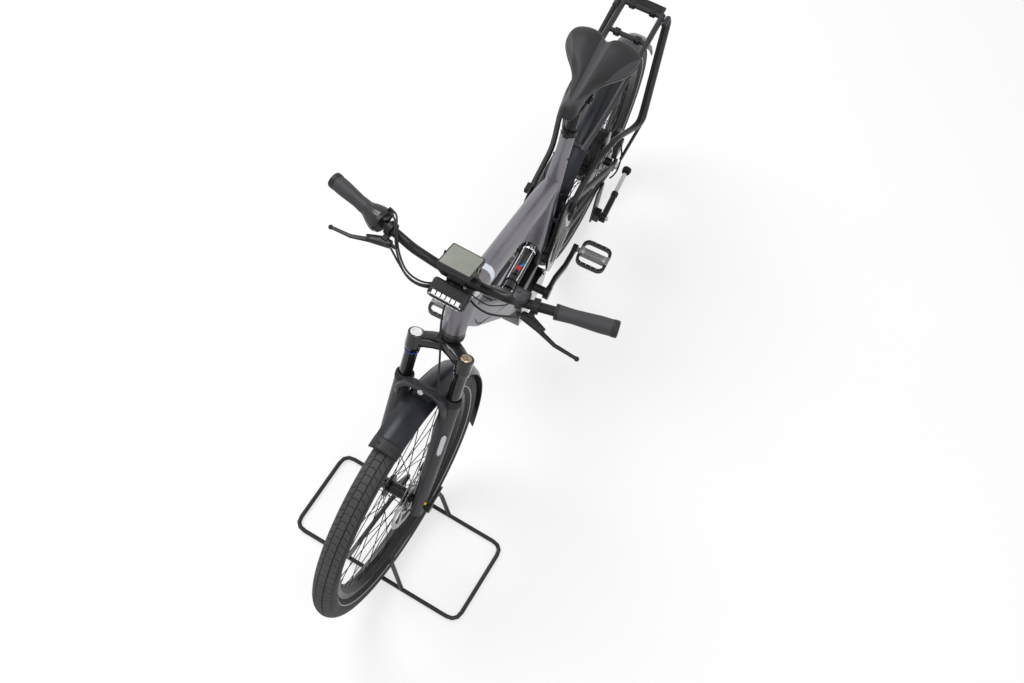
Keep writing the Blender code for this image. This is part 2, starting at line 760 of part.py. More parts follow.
def seat_tube():
    """Seat tube: a broad box above the motor that tapers into a round tube with a flared joint."""
    start = cradle_height() / SEAT_UP.z
    joint = SEAT_TUBE_LENGTH * TOP_TUBE_SEAT_SHARE
    wide, deep = SEAT_LOW_HALF_WIDTH, SEAT_LOW_HALF_DEPTH
    lower = loft([(seat(start), wide, deep), (seat(start + (joint - start) * 0.4), wide, deep),
                  (seat(start + (joint - start) * 0.75), wide * 0.8, deep),
                  (seat(joint), SEAT_TUBE_RADIUS, SEAT_TUBE_RADIUS)],
                 squareness=4)
    flare = loft([(seat(joint - SEAT_TUBE_RADIUS), TOP_TUBE_HALF_WIDTH * 0.9, SEAT_TUBE_RADIUS * 1.3),
                  (seat(joint + SEAT_TUBE_RADIUS), TOP_TUBE_HALF_WIDTH * 0.85, SEAT_TUBE_RADIUS * 1.15),
                  (seat((joint + SEAT_TUBE_LENGTH) / 2), SEAT_TUBE_RADIUS, SEAT_TUBE_RADIUS),
                  (seat(SEAT_TUBE_LENGTH), SEAT_TUBE_RADIUS * 0.95, SEAT_TUBE_RADIUS * 0.95)], squareness=2)
    return join(lower, flare)


def cradle():
    """Plate between the seat tube and the down tube that the motor hangs from."""
    back = seat(cradle_height() / SEAT_UP.z).x - SEAT_LOW_HALF_DEPTH
    height = CRANK_CENTRE.z + cradle_height()
    front = down_tube_ends()[1].x
    return loft([(Vector((back, 0, height)), SEAT_LOW_HALF_WIDTH, CRADLE_HALF_HEIGHT),
                 (Vector((front, 0, height)), DOWN_TUBE_HALF_WIDTH, CRADLE_HALF_HEIGHT)], squareness=5)


def frame():
    """Main frame: head tube, top tube, down tube and seat tube round an open middle."""
    head = turned([(HEAD_RADIUS_LOW, HEAD_BOTTOM), (HEAD_RADIUS_LOW, HEAD_BOTTOM + HEAD_LENGTH * 0.25),
                   (HEAD_RADIUS_HIGH, HEAD_TOP - HEAD_LENGTH * 0.3), (HEAD_RADIUS_HIGH, HEAD_TOP),
                   (0, HEAD_TOP), (0, HEAD_BOTTOM)], 32, STEER_ORIGIN, STEER_UP)
    whole = join(down_tube(), top_tube(), seat_tube(), cradle(), head)
    bore = cylinder(HEAD_BORE, steer(0, 0, HEAD_BOTTOM - OVERRUN), steer(0, 0, HEAD_TOP + OVERRUN), 32)
    post_bore = cylinder(SEATPOST_RADIUS + FIT_GAP, seat(SEAT_TUBE_LENGTH - SEATPOST_INSERT - OVERRUN),
                         seat(SEAT_TUBE_LENGTH + OVERRUN))
    tunnel = cylinder(SHOCK_TUNNEL_RADIUS, rear(SHOCK_REAR_AHEAD - SHOCK_TUNNEL_RADIUS, 0, SHOCK_UP),
                      rear(SHOCK_FRONT_AHEAD + SHOCK_EYE_RADIUS + FIT_GAP, 0, SHOCK_UP))
    pivot = rear(PIVOT_AHEAD, 0, PIVOT_UP)
    pivot_seat = cylinder(bore_radius(PIVOT_RADIUS), *across(pivot, STAY_Y, -STAY_Y))
    motor_space = block((MOTOR_FRONT * 4, MOTOR_HALF_WIDTH * 4, MOTOR_TOP),
                        CRANK_CENTRE + Vector((0, 0, MOTOR_TOP / 2 + FIT_GAP)))
    finish(cut(whole, bore, post_bore, motor_space, tunnel, pivot_seat), "frame", frame_paint())


def battery_cover():
    """Long cover let on to the down tube's upper face."""
    front, foot = down_tube_ends()
    along = (foot - front).normalized()
    normal = Vector((-along.z, 0, along.x)) if along.x > 0 else Vector((along.z, 0, -along.x))
    centre = front.lerp(foot, 0.52) + normal * (DOWN_TUBE_HALF_HEIGHT + FIT_GAP + COVER_THICKNESS / 2)
    panel = block(((foot - front).length * 0.42, COVER_HALF_WIDTH * 2, COVER_THICKNESS), centre,
                  (0, -atan2(along.z, along.x), 0), COVER_THICKNESS / 3, 1)
    finish(panel, "battery_cover", material("cover_taupe", (0.20, 0.19, 0.18), 0.5))


def motor():
    centre = CRANK_CENTRE
    outline = arc((0, 0), MOTOR_REAR_RADIUS, radians(100.0), radians(262.0), 10)
    outline += [(MOTOR_FRONT * 0.62, -MOTOR_BOTTOM), (MOTOR_FRONT * 0.96, -MOTOR_BOTTOM * 0.45),
                (MOTOR_FRONT, MOTOR_TOP * 0.55), (MOTOR_FRONT * 0.93, MOTOR_TOP),
                (MOTOR_REAR_RADIUS * 0.2, MOTOR_TOP)]
    body = plate(outline, 2 * MOTOR_HALF_WIDTH)
    body.location = centre
    body = cut(body, cylinder(SPINDLE_RADIUS + RUN_GAP,
                              *across(centre, MOTOR_HALF_WIDTH + OVERRUN, -MOTOR_HALF_WIDTH - OVERRUN)))
    finish(body, "motor", material("motor_gloss", (0.020, 0.020, 0.023), 0.18, 0.3))


def shock():
    """Horizontal rear shock with its body in front and its shaft behind."""
    back = rear(SHOCK_REAR_AHEAD, 0, SHOCK_UP)
    front = rear(SHOCK_FRONT_AHEAD, 0, SHOCK_UP)
    body = cylinder(SHOCK_RADIUS, back.lerp(front, 0.30), back.lerp(front, 0.86))
    shaft = cylinder(SHOCK_SHAFT_RADIUS, back, back.lerp(front, 0.95), 16)
    head = cylinder(SHOCK_RADIUS * 0.8, back.lerp(front, 0.84), back.lerp(front, 0.97))
    eye_half = SHOCK_EYE_RADIUS * 1.3
    eye = cylinder(SHOCK_EYE_RADIUS, *across(back, eye_half, -eye_half), 20)
    front_eye = cylinder(SHOCK_EYE_RADIUS, *across(front, eye_half, -eye_half), 20)
    reservoir = cylinder(SHOCK_SHAFT_RADIUS * 1.2,
                         back.lerp(front, 0.45) + Vector((0, 0, SHOCK_RADIUS * 0.9)),
                         back.lerp(front, 0.78) + Vector((0, 0, SHOCK_RADIUS * 0.9)), 16)
    finish(join(body, shaft, head, eye, front_eye, reservoir), "shock",
           material("shock_black", (0.02, 0.02, 0.02), 0.3, 0.5))


def swingarm():
    """Rear triangle: chain stays, upper struts and the yoke plates on both sides of the seat tube."""
    pivot = rear(PIVOT_AHEAD, 0, PIVOT_UP)
    yoke = rear(YOKE_AHEAD, 0, YOKE_UP)
    foot = LEFT * DROPOUT_Y
    inner = LEFT * (STAY_Y - YOKE_PLATE / 4)
    spread = LEFT * (STAY_Y + STAY_HALF_WIDTH * 2)
    half, tall = STAY_HALF_WIDTH, STAY_HALF_HEIGHT
    belly = Vector((0, 0, -tall / 2))
    arch = Vector((0, 0, tall))
    stay = loft([(pivot + inner, half * 0.8, tall),
                 (REAR_AXLE.lerp(pivot, 0.76) + LEFT * STAY_Y + belly, half, tall),
                 (REAR_AXLE.lerp(pivot, STAY_BEND_SHARE) + spread + belly, half, tall),
                 (REAR_AXLE + foot, DROPOUT_THICKNESS / 2, tall)], 12, 3)
    strut = loft([(REAR_AXLE + foot, DROPOUT_THICKNESS / 2, tall),
                  (REAR_AXLE.lerp(yoke, 0.34) + foot * 0.9 + arch, half, tall),
                  (REAR_AXLE.lerp(yoke, 0.85) + LEFT * (STAY_Y + half / 2) + arch, half, tall),
                  (yoke + inner, YOKE_PLATE / 2, tall)], 12, 3)
    deep = YOKE_HALF_DEPTH
    upright = loft([(pivot + inner, YOKE_PLATE / 2, deep * 0.9),
                    (pivot.lerp(yoke, 0.5) + inner, YOKE_PLATE / 2, deep * 0.8),
                    (yoke + inner, YOKE_PLATE / 2, deep * 0.8)], 12, 4)
    dropout = cylinder(DROPOUT_RADIUS, *across(REAR_AXLE, DROPOUT_Y - DROPOUT_THICKNESS / 2,
                                               DROPOUT_Y + DROPOUT_THICKNESS / 2))
    side = join(stay, strut, upright, dropout)
    other = mirrored(side)
    tie = cylinder(PIVOT_RADIUS, *across(pivot, STAY_Y, -STAY_Y))
    bridge_angle = REAR_GUARD_FROM + 2 * (REAR_GUARD_TO - REAR_GUARD_FROM) / GUARD_STEPS
    bridge_reach = GUARD_RADIUS + GUARD_THICKNESS + 2 * FIT_GAP + STAY_HALF_WIDTH
    bridge_at = rear(bridge_reach * cos(bridge_angle), 0, bridge_reach * sin(bridge_angle))
    bridge = cylinder(STAY_HALF_WIDTH, *across(bridge_at, STAY_Y, -STAY_Y), 16)
    mount_low = DROPOUT_RADIUS * 0.8
    mount_inner = REAR_ROTOR_Y + CALIPER_WIDTH / 2 + FIT_GAP
    mount = block((CALIPER_MOUNT_DEPTH, DROPOUT_Y - mount_inner, CALIPER_MOUNT_UP - mount_low),
                  rear(-CALIPER_MOUNT_DEPTH * 0.6, (mount_inner + DROPOUT_Y) / 2,
                       (mount_low + CALIPER_MOUNT_UP) / 2),
                  (0, 0, 0), DROPOUT_THICKNESS / 5)
    whole = join(side, tie, bridge, other, mount)
    reach = DROPOUT_Y + 2 * DROPOUT_THICKNESS
    axle_bore = cylinder(REAR_AXLE_RADIUS + FIT_GAP, *across(REAR_AXLE, reach, -reach), 20)
    finish(cut(whole, axle_bore), "swingarm", anthracite())


def rear_axle():
    """Threaded axle with a nut outside each dropout."""
    outer = DROPOUT_Y + DROPOUT_THICKNESS / 2 + FIT_GAP
    nut_end = outer + REAR_AXLE_RADIUS * 1.5
    tip = nut_end - REAR_AXLE_RADIUS * 0.4
    axle = cylinder(REAR_AXLE_RADIUS, *across(REAR_AXLE, tip, -tip), 20)
    nuts = [cylinder(REAR_AXLE_RADIUS * 1.8, *across(REAR_AXLE, side * outer, side * nut_end), 6)
            for side in (1, -1)]
    finish(join(axle, *nuts), "rear_axle", bare_steel())


def sprocket_radius(teeth):
    return teeth * BELT_PITCH / (2 * pi)


def sprocket(centre, teeth, bore, y, arms):
    radius = sprocket_radius(teeth)
    outline = []
    for i in range(teeth):
        angle = 2 * pi * i / teeth
        step = 2 * pi / teeth
        for share, tip in ((-0.25, 1), (0.25, 0)):
            reach = radius - (0 if tip else BELT_THICKNESS * 0.35)
            outline.append((reach * cos(angle + share * step), reach * sin(angle + share * step)))
    holes = [ring((0, 0), bore, 24)]
    if arms:
        inner = bore + SPROCKET_BAND
        outer = radius - SPROCKET_BAND
        for i in range(arms):
            middle = 2 * pi * (i + 0.5) / arms
            wide = pi / arms - SPROCKET_ARM_HALF / outer
            slim = pi / arms - SPROCKET_ARM_HALF / inner
            holes.append(arc((0, 0), outer, middle - wide, middle + wide, 5)
                         + arc((0, 0), inner, middle + slim, middle - slim, 3))
    disc = plate(outline, BELT_WIDTH * 0.8, holes)
    disc.location = centre - LEFT * y
    return disc


def belt():
    """Belt loop round both sprockets, in one plane on the right side."""
    front_radius = sprocket_radius(FRONT_SPROCKET_TEETH) + RUN_GAP
    rear_radius = sprocket_radius(REAR_SPROCKET_TEETH) + RUN_GAP
    span = CRANK_CENTRE - REAR_AXLE
    distance = hypot(span.x, span.z)
    tilt = atan2(span.z, span.x)
    lean = acos((rear_radius - front_radius) / distance)
    front_steps = 20
    rear_steps = 12
    loops = []
    for thickness in (BELT_THICKNESS, 0):
        front_reach = (front_radius + thickness) / cos(lean / front_steps)
        rear_reach = (rear_radius + thickness) / cos((pi - lean) / rear_steps)
        front = arc((span.x, span.z), front_reach, tilt - lean, tilt + lean, front_steps)
        back = arc((0, 0), rear_reach, tilt + lean, tilt + 2 * pi - lean, rear_steps)
        loops.append(front + back)
    loop = plate(loops[0], BELT_WIDTH, [loops[1]])
    loop.location = REAR_AXLE - LEFT * BELT_Y
    finish(loop, "belt", rubber())


def crankset(crank):
    """Spindle through the motor with both bent arms; the left arm points straight back."""
    spindle = cylinder(SPINDLE_RADIUS, *across(CRANK_CENTRE, CRANK_ARM_Y, -CRANK_ARM_Y))
    half = CRANK_ARM_HALF_WIDTH
    arms = []
    for side in (1, -1):
        pedal_end = CRANK_CENTRE + Vector((-side * CRANK_LENGTH, 0, 0))
        root = CRANK_CENTRE + LEFT * side * CRANK_ARM_Y
        out = LEFT * side * (CRANK_ARM_Y + CRANK_BEND)
        arm = loft([(root, half, CRANK_BOSS_RADIUS * 0.85),
                    (root.lerp(pedal_end + LEFT * side * CRANK_ARM_Y, 0.3), half, CRANK_BOSS_RADIUS * 0.75),
                    (root.lerp(pedal_end + out, 0.6) + LEFT * side * CRANK_BEND * 0.3, half,
                     CRANK_BOSS_RADIUS * 0.6),
                    (pedal_end.lerp(CRANK_CENTRE, 0.2) + out, half, PEDAL_BOSS_RADIUS * 0.8),
                    (pedal_end + out, half, PEDAL_BOSS_RADIUS * 0.8)], 12, 3.5)
        inner = side * (CRANK_ARM_Y - half)
        boss = cylinder(CRANK_BOSS_RADIUS, *across(CRANK_CENTRE, inner, inner + side * 2.2 * half))
        face = inner + side * CRANK_BEND
        pedal_boss = cylinder(PEDAL_BOSS_RADIUS, *across(pedal_end, face, face + side * 2 * half))
        arms += [arm, boss, pedal_boss]
    finish(join(spindle, *arms), "crankset", black_paint(), crank)
    front = sprocket(CRANK_CENTRE, FRONT_SPROCKET_TEETH, SPINDLE_RADIUS + FIT_GAP, BELT_Y, 4)
    finish(front, "front_sprocket", black_paint(), crank)


def pedal(crank_side, parent):
    """Open cage pedal with rounded ends round its spindle housing."""
    centre = CRANK_CENTRE + Vector((-crank_side * CRANK_LENGTH, 0, 0))
    face = CRANK_ARM_Y + CRANK_BEND + CRANK_ARM_HALF_WIDTH + RUN_GAP
    inner = face + PEDAL_FROM_CRANK
    outer = inner + PEDAL_WIDTH
    half_long = PEDAL_LENGTH / 2
    half_wide = PEDAL_WIDTH / 2
    corner = PEDAL_LENGTH * 0.24
    bar = PEDAL_LENGTH * 0.09
    core = PEDAL_HEIGHT * 0.62
    centres = [(half_wide - corner, half_long - corner), (corner - half_wide, half_long - corner),
               (corner - half_wide, corner - half_long), (half_wide - corner, corner - half_long)]
    outline = []
    for quarter, place in enumerate(centres):
        outline += arc(place, corner, quarter * pi / 2, (quarter + 1) * pi / 2, 4)
    holes = []
    for sign in (1, -1):
        right, left = [(x, sign * (half_long - corner)) for x in (half_wide - corner, corner - half_wide)]
        holes.append(arc(right, corner - bar, 0, sign * pi / 2, 4)
                     + arc(left, corner - bar, sign * pi / 2, sign * pi, 4)
                     + [(bar - half_wide, sign * core), (half_wide - bar, sign * core)])
    cage = plate(outline, PEDAL_HEIGHT * 0.7, holes)
    cage.rotation_euler = (0, 0, pi / 2)
    cage.location = centre + LEFT * crank_side * (inner + outer) / 2
    cage = bake(cage)
    housing = cylinder(PEDAL_HEIGHT * 0.58, *across(centre, crank_side * inner, crank_side * (outer - bar)),
                       16)
    spindle = cylinder(PEDAL_HEIGHT * 0.36, *across(centre, crank_side * face, crank_side * (outer - bar)),
                       16)
    return finish(join(cage, housing, spindle), "pedal_left" if crank_side > 0 else "pedal_right",
                  black_plastic(), parent)


def seatpost_group():
    """Seatpost with the cradle for the saddle rails, and the clamp on the seat tube."""
    top = seat(SEAT_TUBE_LENGTH + SEATPOST_SHOW)
    post = cylinder(SEATPOST_RADIUS, seat(SEAT_TUBE_LENGTH - SEATPOST_INSERT), top)
    cradle_half = RAIL_HALF_SPACING + RAIL_RADIUS * 2.3
    post = join(post, cylinder(SEATPOST_RADIUS * 0.84, *across(top, cradle_half, -cradle_half), 20))
    reach = FORWARD * SEATPOST_RADIUS * 3
    rail_bores = [cylinder(RAIL_RADIUS + FIT_GAP, top + LEFT * side * RAIL_HALF_SPACING - reach,
                           top + LEFT * side * RAIL_HALF_SPACING + reach, 12) for side in (1, -1)]
    finish(cut(post, *rail_bores), "seatpost", black_paint())
    inner = SEATPOST_RADIUS + FIT_GAP
    collar = turned([(inner, COLLAR_HEIGHT), (inner + COLLAR_WALL, COLLAR_HEIGHT), (inner + COLLAR_WALL, 0),
                     (inner, 0)],
                    24, seat(SEAT_TUBE_LENGTH + FIT_GAP), SEAT_UP)
    ear = block((COLLAR_WALL * 3, COLLAR_WALL * 3, COLLAR_HEIGHT * 0.8),
                seat(SEAT_TUBE_LENGTH + FIT_GAP + COLLAR_HEIGHT / 2, inner + COLLAR_WALL * 1.5),
                (0, SEAT_ANGLE - pi / 2, 0),
                COLLAR_WALL / 4, 1)
    finish(join(collar, ear), "seat_clamp", black_paint())
    rails_group(top)


def rails_group(top):
    """Two steel rails from the saddle's nose through the cradle to its tail."""
    nose_x = top.x + SADDLE_LENGTH * 0.36
    tail_x = top.x - SADDLE_LENGTH * 0.30
    flat = SADDLE_LENGTH / 6
    high = top.z + SADDLE_RAIL_LIFT
    wires = []
    for side in (1, -1):
        y = side * RAIL_HALF_SPACING
        path = rounded_path([(tail_x, y * 1.3, high), (top.x - flat, y, top.z), (top.x + flat, y, top.z),
                             (nose_x, y * 0.3, high)], RAIL_BEND, 4)
        wires.append(tube(path, RAIL_RADIUS, 2))
    tie_at = Vector((nose_x, 0, high))
    tie = cylinder(RAIL_RADIUS * 1.4, *across(tie_at, RAIL_HALF_SPACING / 2, -RAIL_HALF_SPACING / 2), 12)
    finish(join(*wires, tie), "saddle_rails", bare_steel())


def saddle():
    """Broad comfort saddle with a notched tail, lofted across from side to side."""
    top = seat(SEAT_TUBE_LENGTH + SEATPOST_SHOW)
    nose = top.x + SADDLE_LENGTH * SADDLE_NOSE_SHARE
    base = top.z + SADDLE_RAIL_LIFT + RAIL_RADIUS - SADDLE_HEIGHT * 0.036
    outline = ((0, 0, 0.915, 1.0), (0.12, 0.004, 0.925, 1.0), (0.20, 0.022, 0.952, 0.97),
               (0.26, 0.11, 0.968, 0.94),
               (0.31, 0.32, 0.982, 0.90), (0.38, 0.45, 0.994, 0.86), (0.52, 0.565, 1.0, 0.80),
               (0.70, 0.645, 0.985, 0.70),
               (0.86, 0.72, 0.943, 0.56), (0.96, 0.785, 0.89, 0.40), (1.0, 0.82, 0.86, 0.24))
    half = []
    for wide_share, front_share, back_share, height_share in outline:
        front = nose - SADDLE_LENGTH * front_share
        back = nose - SADDLE_LENGTH * back_share
        height = SADDLE_HEIGHT * height_share
        droop = SADDLE_HEIGHT * 0.25 * wide_share ** 2
        place = Vector(((front + back) / 2, SADDLE_HALF_WIDTH * wide_share,
                        base + SADDLE_HEIGHT / 2 - droop))
        half.append((place, (front - back) / 2, height / 2 - droop / 4))
    stations = [(flip(place), reach, rise) for place, reach, rise in reversed(half[1:])] + half
    finish(loft(stations, 24, 3, FORWARD, LEFT), "saddle",
           material("saddle_black", (0.03, 0.03, 0.032), 0.6))


def mudguard(axle, start, end):
    """Arched guard over a tyre between two angles from straight ahead, turning up over the top."""
    mesh = bpy.data.meshes.new("guard")
    steps = 6
    points = []
    for i in range(steps + 1):
        share = 2 * i / steps - 1
        points.append((GUARD_RADIUS + GUARD_THICKNESS / 2 - GUARD_DEPTH * abs(share) ** 2.6, 0,
                       GUARD_HALF_WIDTH * share))
    mesh.from_pydata(points, [(i, i + 1) for i in range(steps)], [])
    obj = new_object("guard", mesh)
    screw = obj.modifiers.new("sweep", "SCREW")
    screw.angle = end - start
    screw.steps = GUARD_STEPS
    screw.render_steps = GUARD_STEPS
    screw.use_merge_vertices = False
    shell = obj.modifiers.new("wall", "SOLIDIFY")
    shell.thickness = GUARD_THICKNESS
    shell.offset = 0
    obj.rotation_euler = (pi / 2, 0, 0)
    obj = bake(obj)
    obj.data.transform(Matrix.Rotation(pi / 2, 4, "X"))
    obj.rotation_euler = (0, 0, 0)
    obj.data.transform(Matrix.Rotation(-start, 4, "Y"))
    obj.location = axle
    return bake(obj)


def mudguards(steering):
    guard_plastic = material("guard_anthracite", (0.055, 0.055, 0.060), 0.6)
    finish(mudguard(REAR_AXLE, REAR_GUARD_FROM, REAR_GUARD_TO), "rear_mudguard", guard_plastic)
    finish(mudguard(FRONT_AXLE, FRONT_GUARD_FROM, FRONT_GUARD_TO), "front_mudguard", guard_plastic,
           steering)


def arch_ahead():
    """How far ahead of the steering axis the middle of the fork's arch lies."""
    return LEG_OFFSET + STANCHION_RADIUS + ARCH_HALF_WIDTH + 2 * RUN_GAP


def mudguard_bridge(steering):
    """Bracket that hangs the front guard from the fork's arch."""
    arch_at = steer(arch_ahead(), 0, ARCH_HEIGHT)
    outward = (arch_at - FRONT_AXLE).normalized()
    low = GUARD_RADIUS + GUARD_THICKNESS + FIT_GAP
    section = oval(ARCH_HALF_WIDTH, ARCH_HALF_THICKNESS, ARCH_SIDES, ARCH_SQUARENESS)
    band = max(wide * outward.dot(STEER_AHEAD) + high * outward.dot(STEER_UP) for wide, high in section)
    high = (arch_at - FRONT_AXLE).length - band - FIT_GAP
    angle = atan2(outward.z, outward.x)
    tab = block((BRIDGE_LENGTH, BRIDGE_WIDTH, high - low), FRONT_AXLE + outward * (low + high) / 2,
                (0, pi / 2 - angle, 0), BRIDGE_WIDTH / 10)
    finish(tab, "mudguard_bridge", black_plastic(), steering)


def rack():
    """Carrier: two rails with cross bars and a tail plate, and a pannier loop on each side."""
    half, up, radius = RACK_HALF_WIDTH, RACK_UP, RACK_RADIUS
    rails = []
    for side in (1, -1):
        path = rounded_path([rear(-RACK_BACK, side * half, up), rear(4 * radius, side * half, up),
                             rear(RACK_KNEE_AHEAD, side * half * 0.8, up - RACK_KNEE_DROP),
                             rear(RACK_END_AHEAD, side * half * 0.55, up - RACK_END_DROP)], half)
        rails.append(tube(path, radius))
    slim = radius * 0.85
    bars = [tube([rear(x, half, up), rear(x, -half, up)], slim)
            for x in (-RACK_BACK + slim, -RACK_BAR_BACK)]
    low_x, low_z = RACK_END_AHEAD - slim, up - RACK_END_DROP + slim / 2
    low_bar = tube([rear(low_x, half * 0.6, low_z), rear(low_x, -half * 0.6, low_z)], slim)
    tail = block((TAIL_PLATE_LENGTH, 2 * half, TAIL_PLATE_THICKNESS),
                 rear(-RACK_BACK - TAIL_PLATE_LENGTH / 2 + slim, 0, up),
                 (0, 0, 0), TAIL_PLATE_THICKNESS / 3, 1)
    finish(join(*rails, *bars, low_bar, tail), "rack_deck", anthracite())
    for side, name in ((1, "rack_loop_left"), (-1, "rack_loop_right")):
        finish(pannier_loop(side), name, anthracite())
    lamp = block((LAMP_REAR_DEPTH, LAMP_REAR_WIDTH, LAMP_REAR_HEIGHT),
                 rear(-RACK_BACK - TAIL_PLATE_LENGTH + LAMP_REAR_DEPTH, 0,
                      up - TAIL_PLATE_THICKNESS / 2 - FIT_GAP - LAMP_REAR_HEIGHT / 2), (0, 0, 0),
                      LAMP_REAR_DEPTH / 5)
    finish(lamp, "rear_light", material("rear_lens", (0.25, 0.01, 0.012), 0.25))


def pannier_loop(side):
    """Side loop: a round tube from the tail to the frame, a flat outer band and a stay to the axle."""
    up, radius = RACK_UP, RACK_RADIUS
    start = RACK_HALF_WIDTH + 2 * radius + FIT_GAP
    tail = rear(-RACK_BACK - radius, side * start, up)
    corner = rear(-LOOP_CORNER_BACK, side * LOOP_HALF_WIDTH, LOOP_CORNER_UP)
    yoke_y = STAY_Y + YOKE_PLATE * 0.378 + radius
    path = rounded_path([tail + FORWARD * 5 * radius, tail, corner,
                         rear(RACK_BAR_BACK, side * LOOP_HALF_WIDTH * 0.74, LOOP_CORNER_UP * 1.5),
                         rear(YOKE_AHEAD * 0.54, side * yoke_y * 1.06, YOKE_UP * 1.12),
                         rear(YOKE_AHEAD * 0.85, side * yoke_y * 1.04, YOKE_UP * 1.03),
                         rear(YOKE_AHEAD - radius, side * yoke_y, YOKE_UP + radius / 2)], LOOP_BEND)
    outer = tube(path, radius)
    shift = Vector((-LOOP_SPACING, side * radius * 0.4, 0))
    band_path = rounded_path([tail - Vector((0, 0, radius)), tail.lerp(corner, 0.10) + shift,
                              corner + shift,
                              corner + FORWARD * LOOP_SPACING * 0.3], LOOP_BEND)
    band = loft([(place, radius * 0.4, radius) for place in band_path], 8, 4)
    stay = tube([corner + FORWARD * radius,
                 rear(-radius / 2, side * (DROPOUT_Y + 1.75 * radius), 4 * radius)], radius * 0.6, 2)
    return join(outer, band, stay)


def caliper(axle, rotor_y, angle):
    """Two-sided caliper over the disc's edge, with a slot for the disc."""
    outward = Vector((cos(angle), 0, sin(angle)))
    turn = (0, pi / 2 - angle, 0)
    body = block((CALIPER_LENGTH, CALIPER_WIDTH, CALIPER_HEIGHT),
                 axle + outward * (ROTOR_RADIUS + CALIPER_BRIDGE - CALIPER_HEIGHT / 2) + LEFT * rotor_y,
                 turn, CALIPER_ROUNDING)
    slot = block((CALIPER_LENGTH + 2 * OVERRUN, ROTOR_THICKNESS + 2 * PAD_GAP, CALIPER_HEIGHT),
                 axle + outward * (ROTOR_RADIUS + PAD_GAP - CALIPER_HEIGHT / 2) + LEFT * rotor_y, turn)
    return cut(body, slot)


def brakes(steering):
    finish(caliper(REAR_AXLE, REAR_ROTOR_Y, REAR_CALIPER_ANGLE), "rear_caliper", black_paint())
    finish(caliper(FRONT_AXLE, FRONT_ROTOR_Y, FRONT_CALIPER_ANGLE), "front_caliper", black_paint(),
           steering)


def fork(steering):
    """Suspension fork: crown, steerer and stanchions in one, and the lower legs with their arch."""
    gloss = material("fork_gloss", (0.015, 0.015, 0.016), 0.16, 0.4)
    crown_z = HEAD_BOTTOM - FIT_GAP - CROWN_HEIGHT / 2
    deep, tall = CROWN_DEPTH / 2, CROWN_HEIGHT / 2
    shares = ((1, 1, 0.8), (0.55, 0.5, 0.9), (0.2, 0, 1.15), (0.55, -0.5, 0.9), (1, -1, 0.8))
    crown = loft([(steer(LEG_OFFSET * ahead, -LEG_Y * left, crown_z), deep * size, tall)
                  for ahead, left, size in shares], 12, 3, STEER_AHEAD)
    pieces = [cylinder(STEERER_RADIUS, steer(0, 0, crown_z), steer(0, 0, HEAD_TOP))]
    lowers = []
    bores = []
    foot = LOWER_FOOT_RADIUS
    for side in (1, -1):
        y = side * LEG_Y
        pieces.append(cylinder(LEG_CAP_RADIUS, steer(LEG_OFFSET, y, crown_z - CROWN_HEIGHT * 0.55),
                               steer(LEG_OFFSET, y, HEAD_BOTTOM + LEG_CAP_RISE)))
        pieces.append(cylinder(STANCHION_RADIUS, steer(LEG_OFFSET, y, LOWER_TOP - STANCHION_INSERT),
                               steer(LEG_OFFSET, y, crown_z)))
        lowers.append(loft([(steer(LEG_OFFSET, y, LOWER_TOP), LOWER_RADIUS, LOWER_RADIUS),
                            (steer(LEG_OFFSET, y, LOWER_TOP * 0.55), LOWER_RADIUS, LOWER_RADIUS),
                            (steer(LEG_OFFSET, y, LOWER_TOP * 0.2), foot, foot * 1.1),
                            (steer(LEG_OFFSET, y * 0.98, -LOWER_FOOT_DROP), foot * 0.9, foot)], 16, 2))
        bores.append(cylinder(STANCHION_RADIUS + FIT_GAP,
                              steer(LEG_OFFSET, y, LOWER_TOP - STANCHION_INSERT - FIT_GAP),
                              steer(LEG_OFFSET, y, LOWER_TOP + OVERRUN)))
    finish(join(crown, *pieces), "fork_upper", gloss, steering)
    mount_inner = FRONT_ROTOR_Y + CALIPER_WIDTH / 2 + FIT_GAP
    mount_y = (mount_inner + LEG_Y) / 2
    mount_half = (LEG_Y - mount_inner) / 2
    mount = loft([(steer(LEG_OFFSET, mount_y, LOWER_TOP * 0.2), mount_half, CALIPER_HEIGHT / 2),
                  (steer(-CALIPER_LENGTH * 0.35, mount_y, LOWER_TOP * 0.195), mount_half,
                   CALIPER_HEIGHT * 0.43)], 8, 5)
    whole = join(*lowers, fork_arch(), mount)
    axle_bore = cylinder(FRONT_AXLE_RADIUS + FIT_GAP,
                         *across(FRONT_AXLE, LEG_Y + 2 * foot, -LEG_Y - 2 * foot), 20)
    hub_space = cylinder(FRONT_HUB_RADIUS * 1.3,
                         *across(FRONT_AXLE, FRONT_HUB_HALF + RUN_GAP, -FRONT_HUB_HALF - RUN_GAP))
    finish(cut(whole, axle_bore, hub_space, *bores), "fork_lowers", anthracite(), steering)
    front_axle(steering)


def fork_arch():
    """Broad strap over the mudguard that ties both lower legs together."""
    ahead = arch_ahead()
    wide, thick = ARCH_HALF_WIDTH, ARCH_HALF_THICKNESS
    half_arch = [steer(LEG_OFFSET + wide * 0.7, LEG_Y, LOWER_TOP - wide * 3),
                 steer(ahead, LEG_Y * 0.95, LOWER_TOP - thick),
                 steer(ahead, LEG_Y * 0.60, ARCH_HEIGHT)]
    path = rounded_path(half_arch + [flip(p) for p in reversed(half_arch)], wide * 2, 4)
    return loft([(place, wide, thick) for place in path], ARCH_SIDES, ARCH_SQUARENESS, STEER_AHEAD)


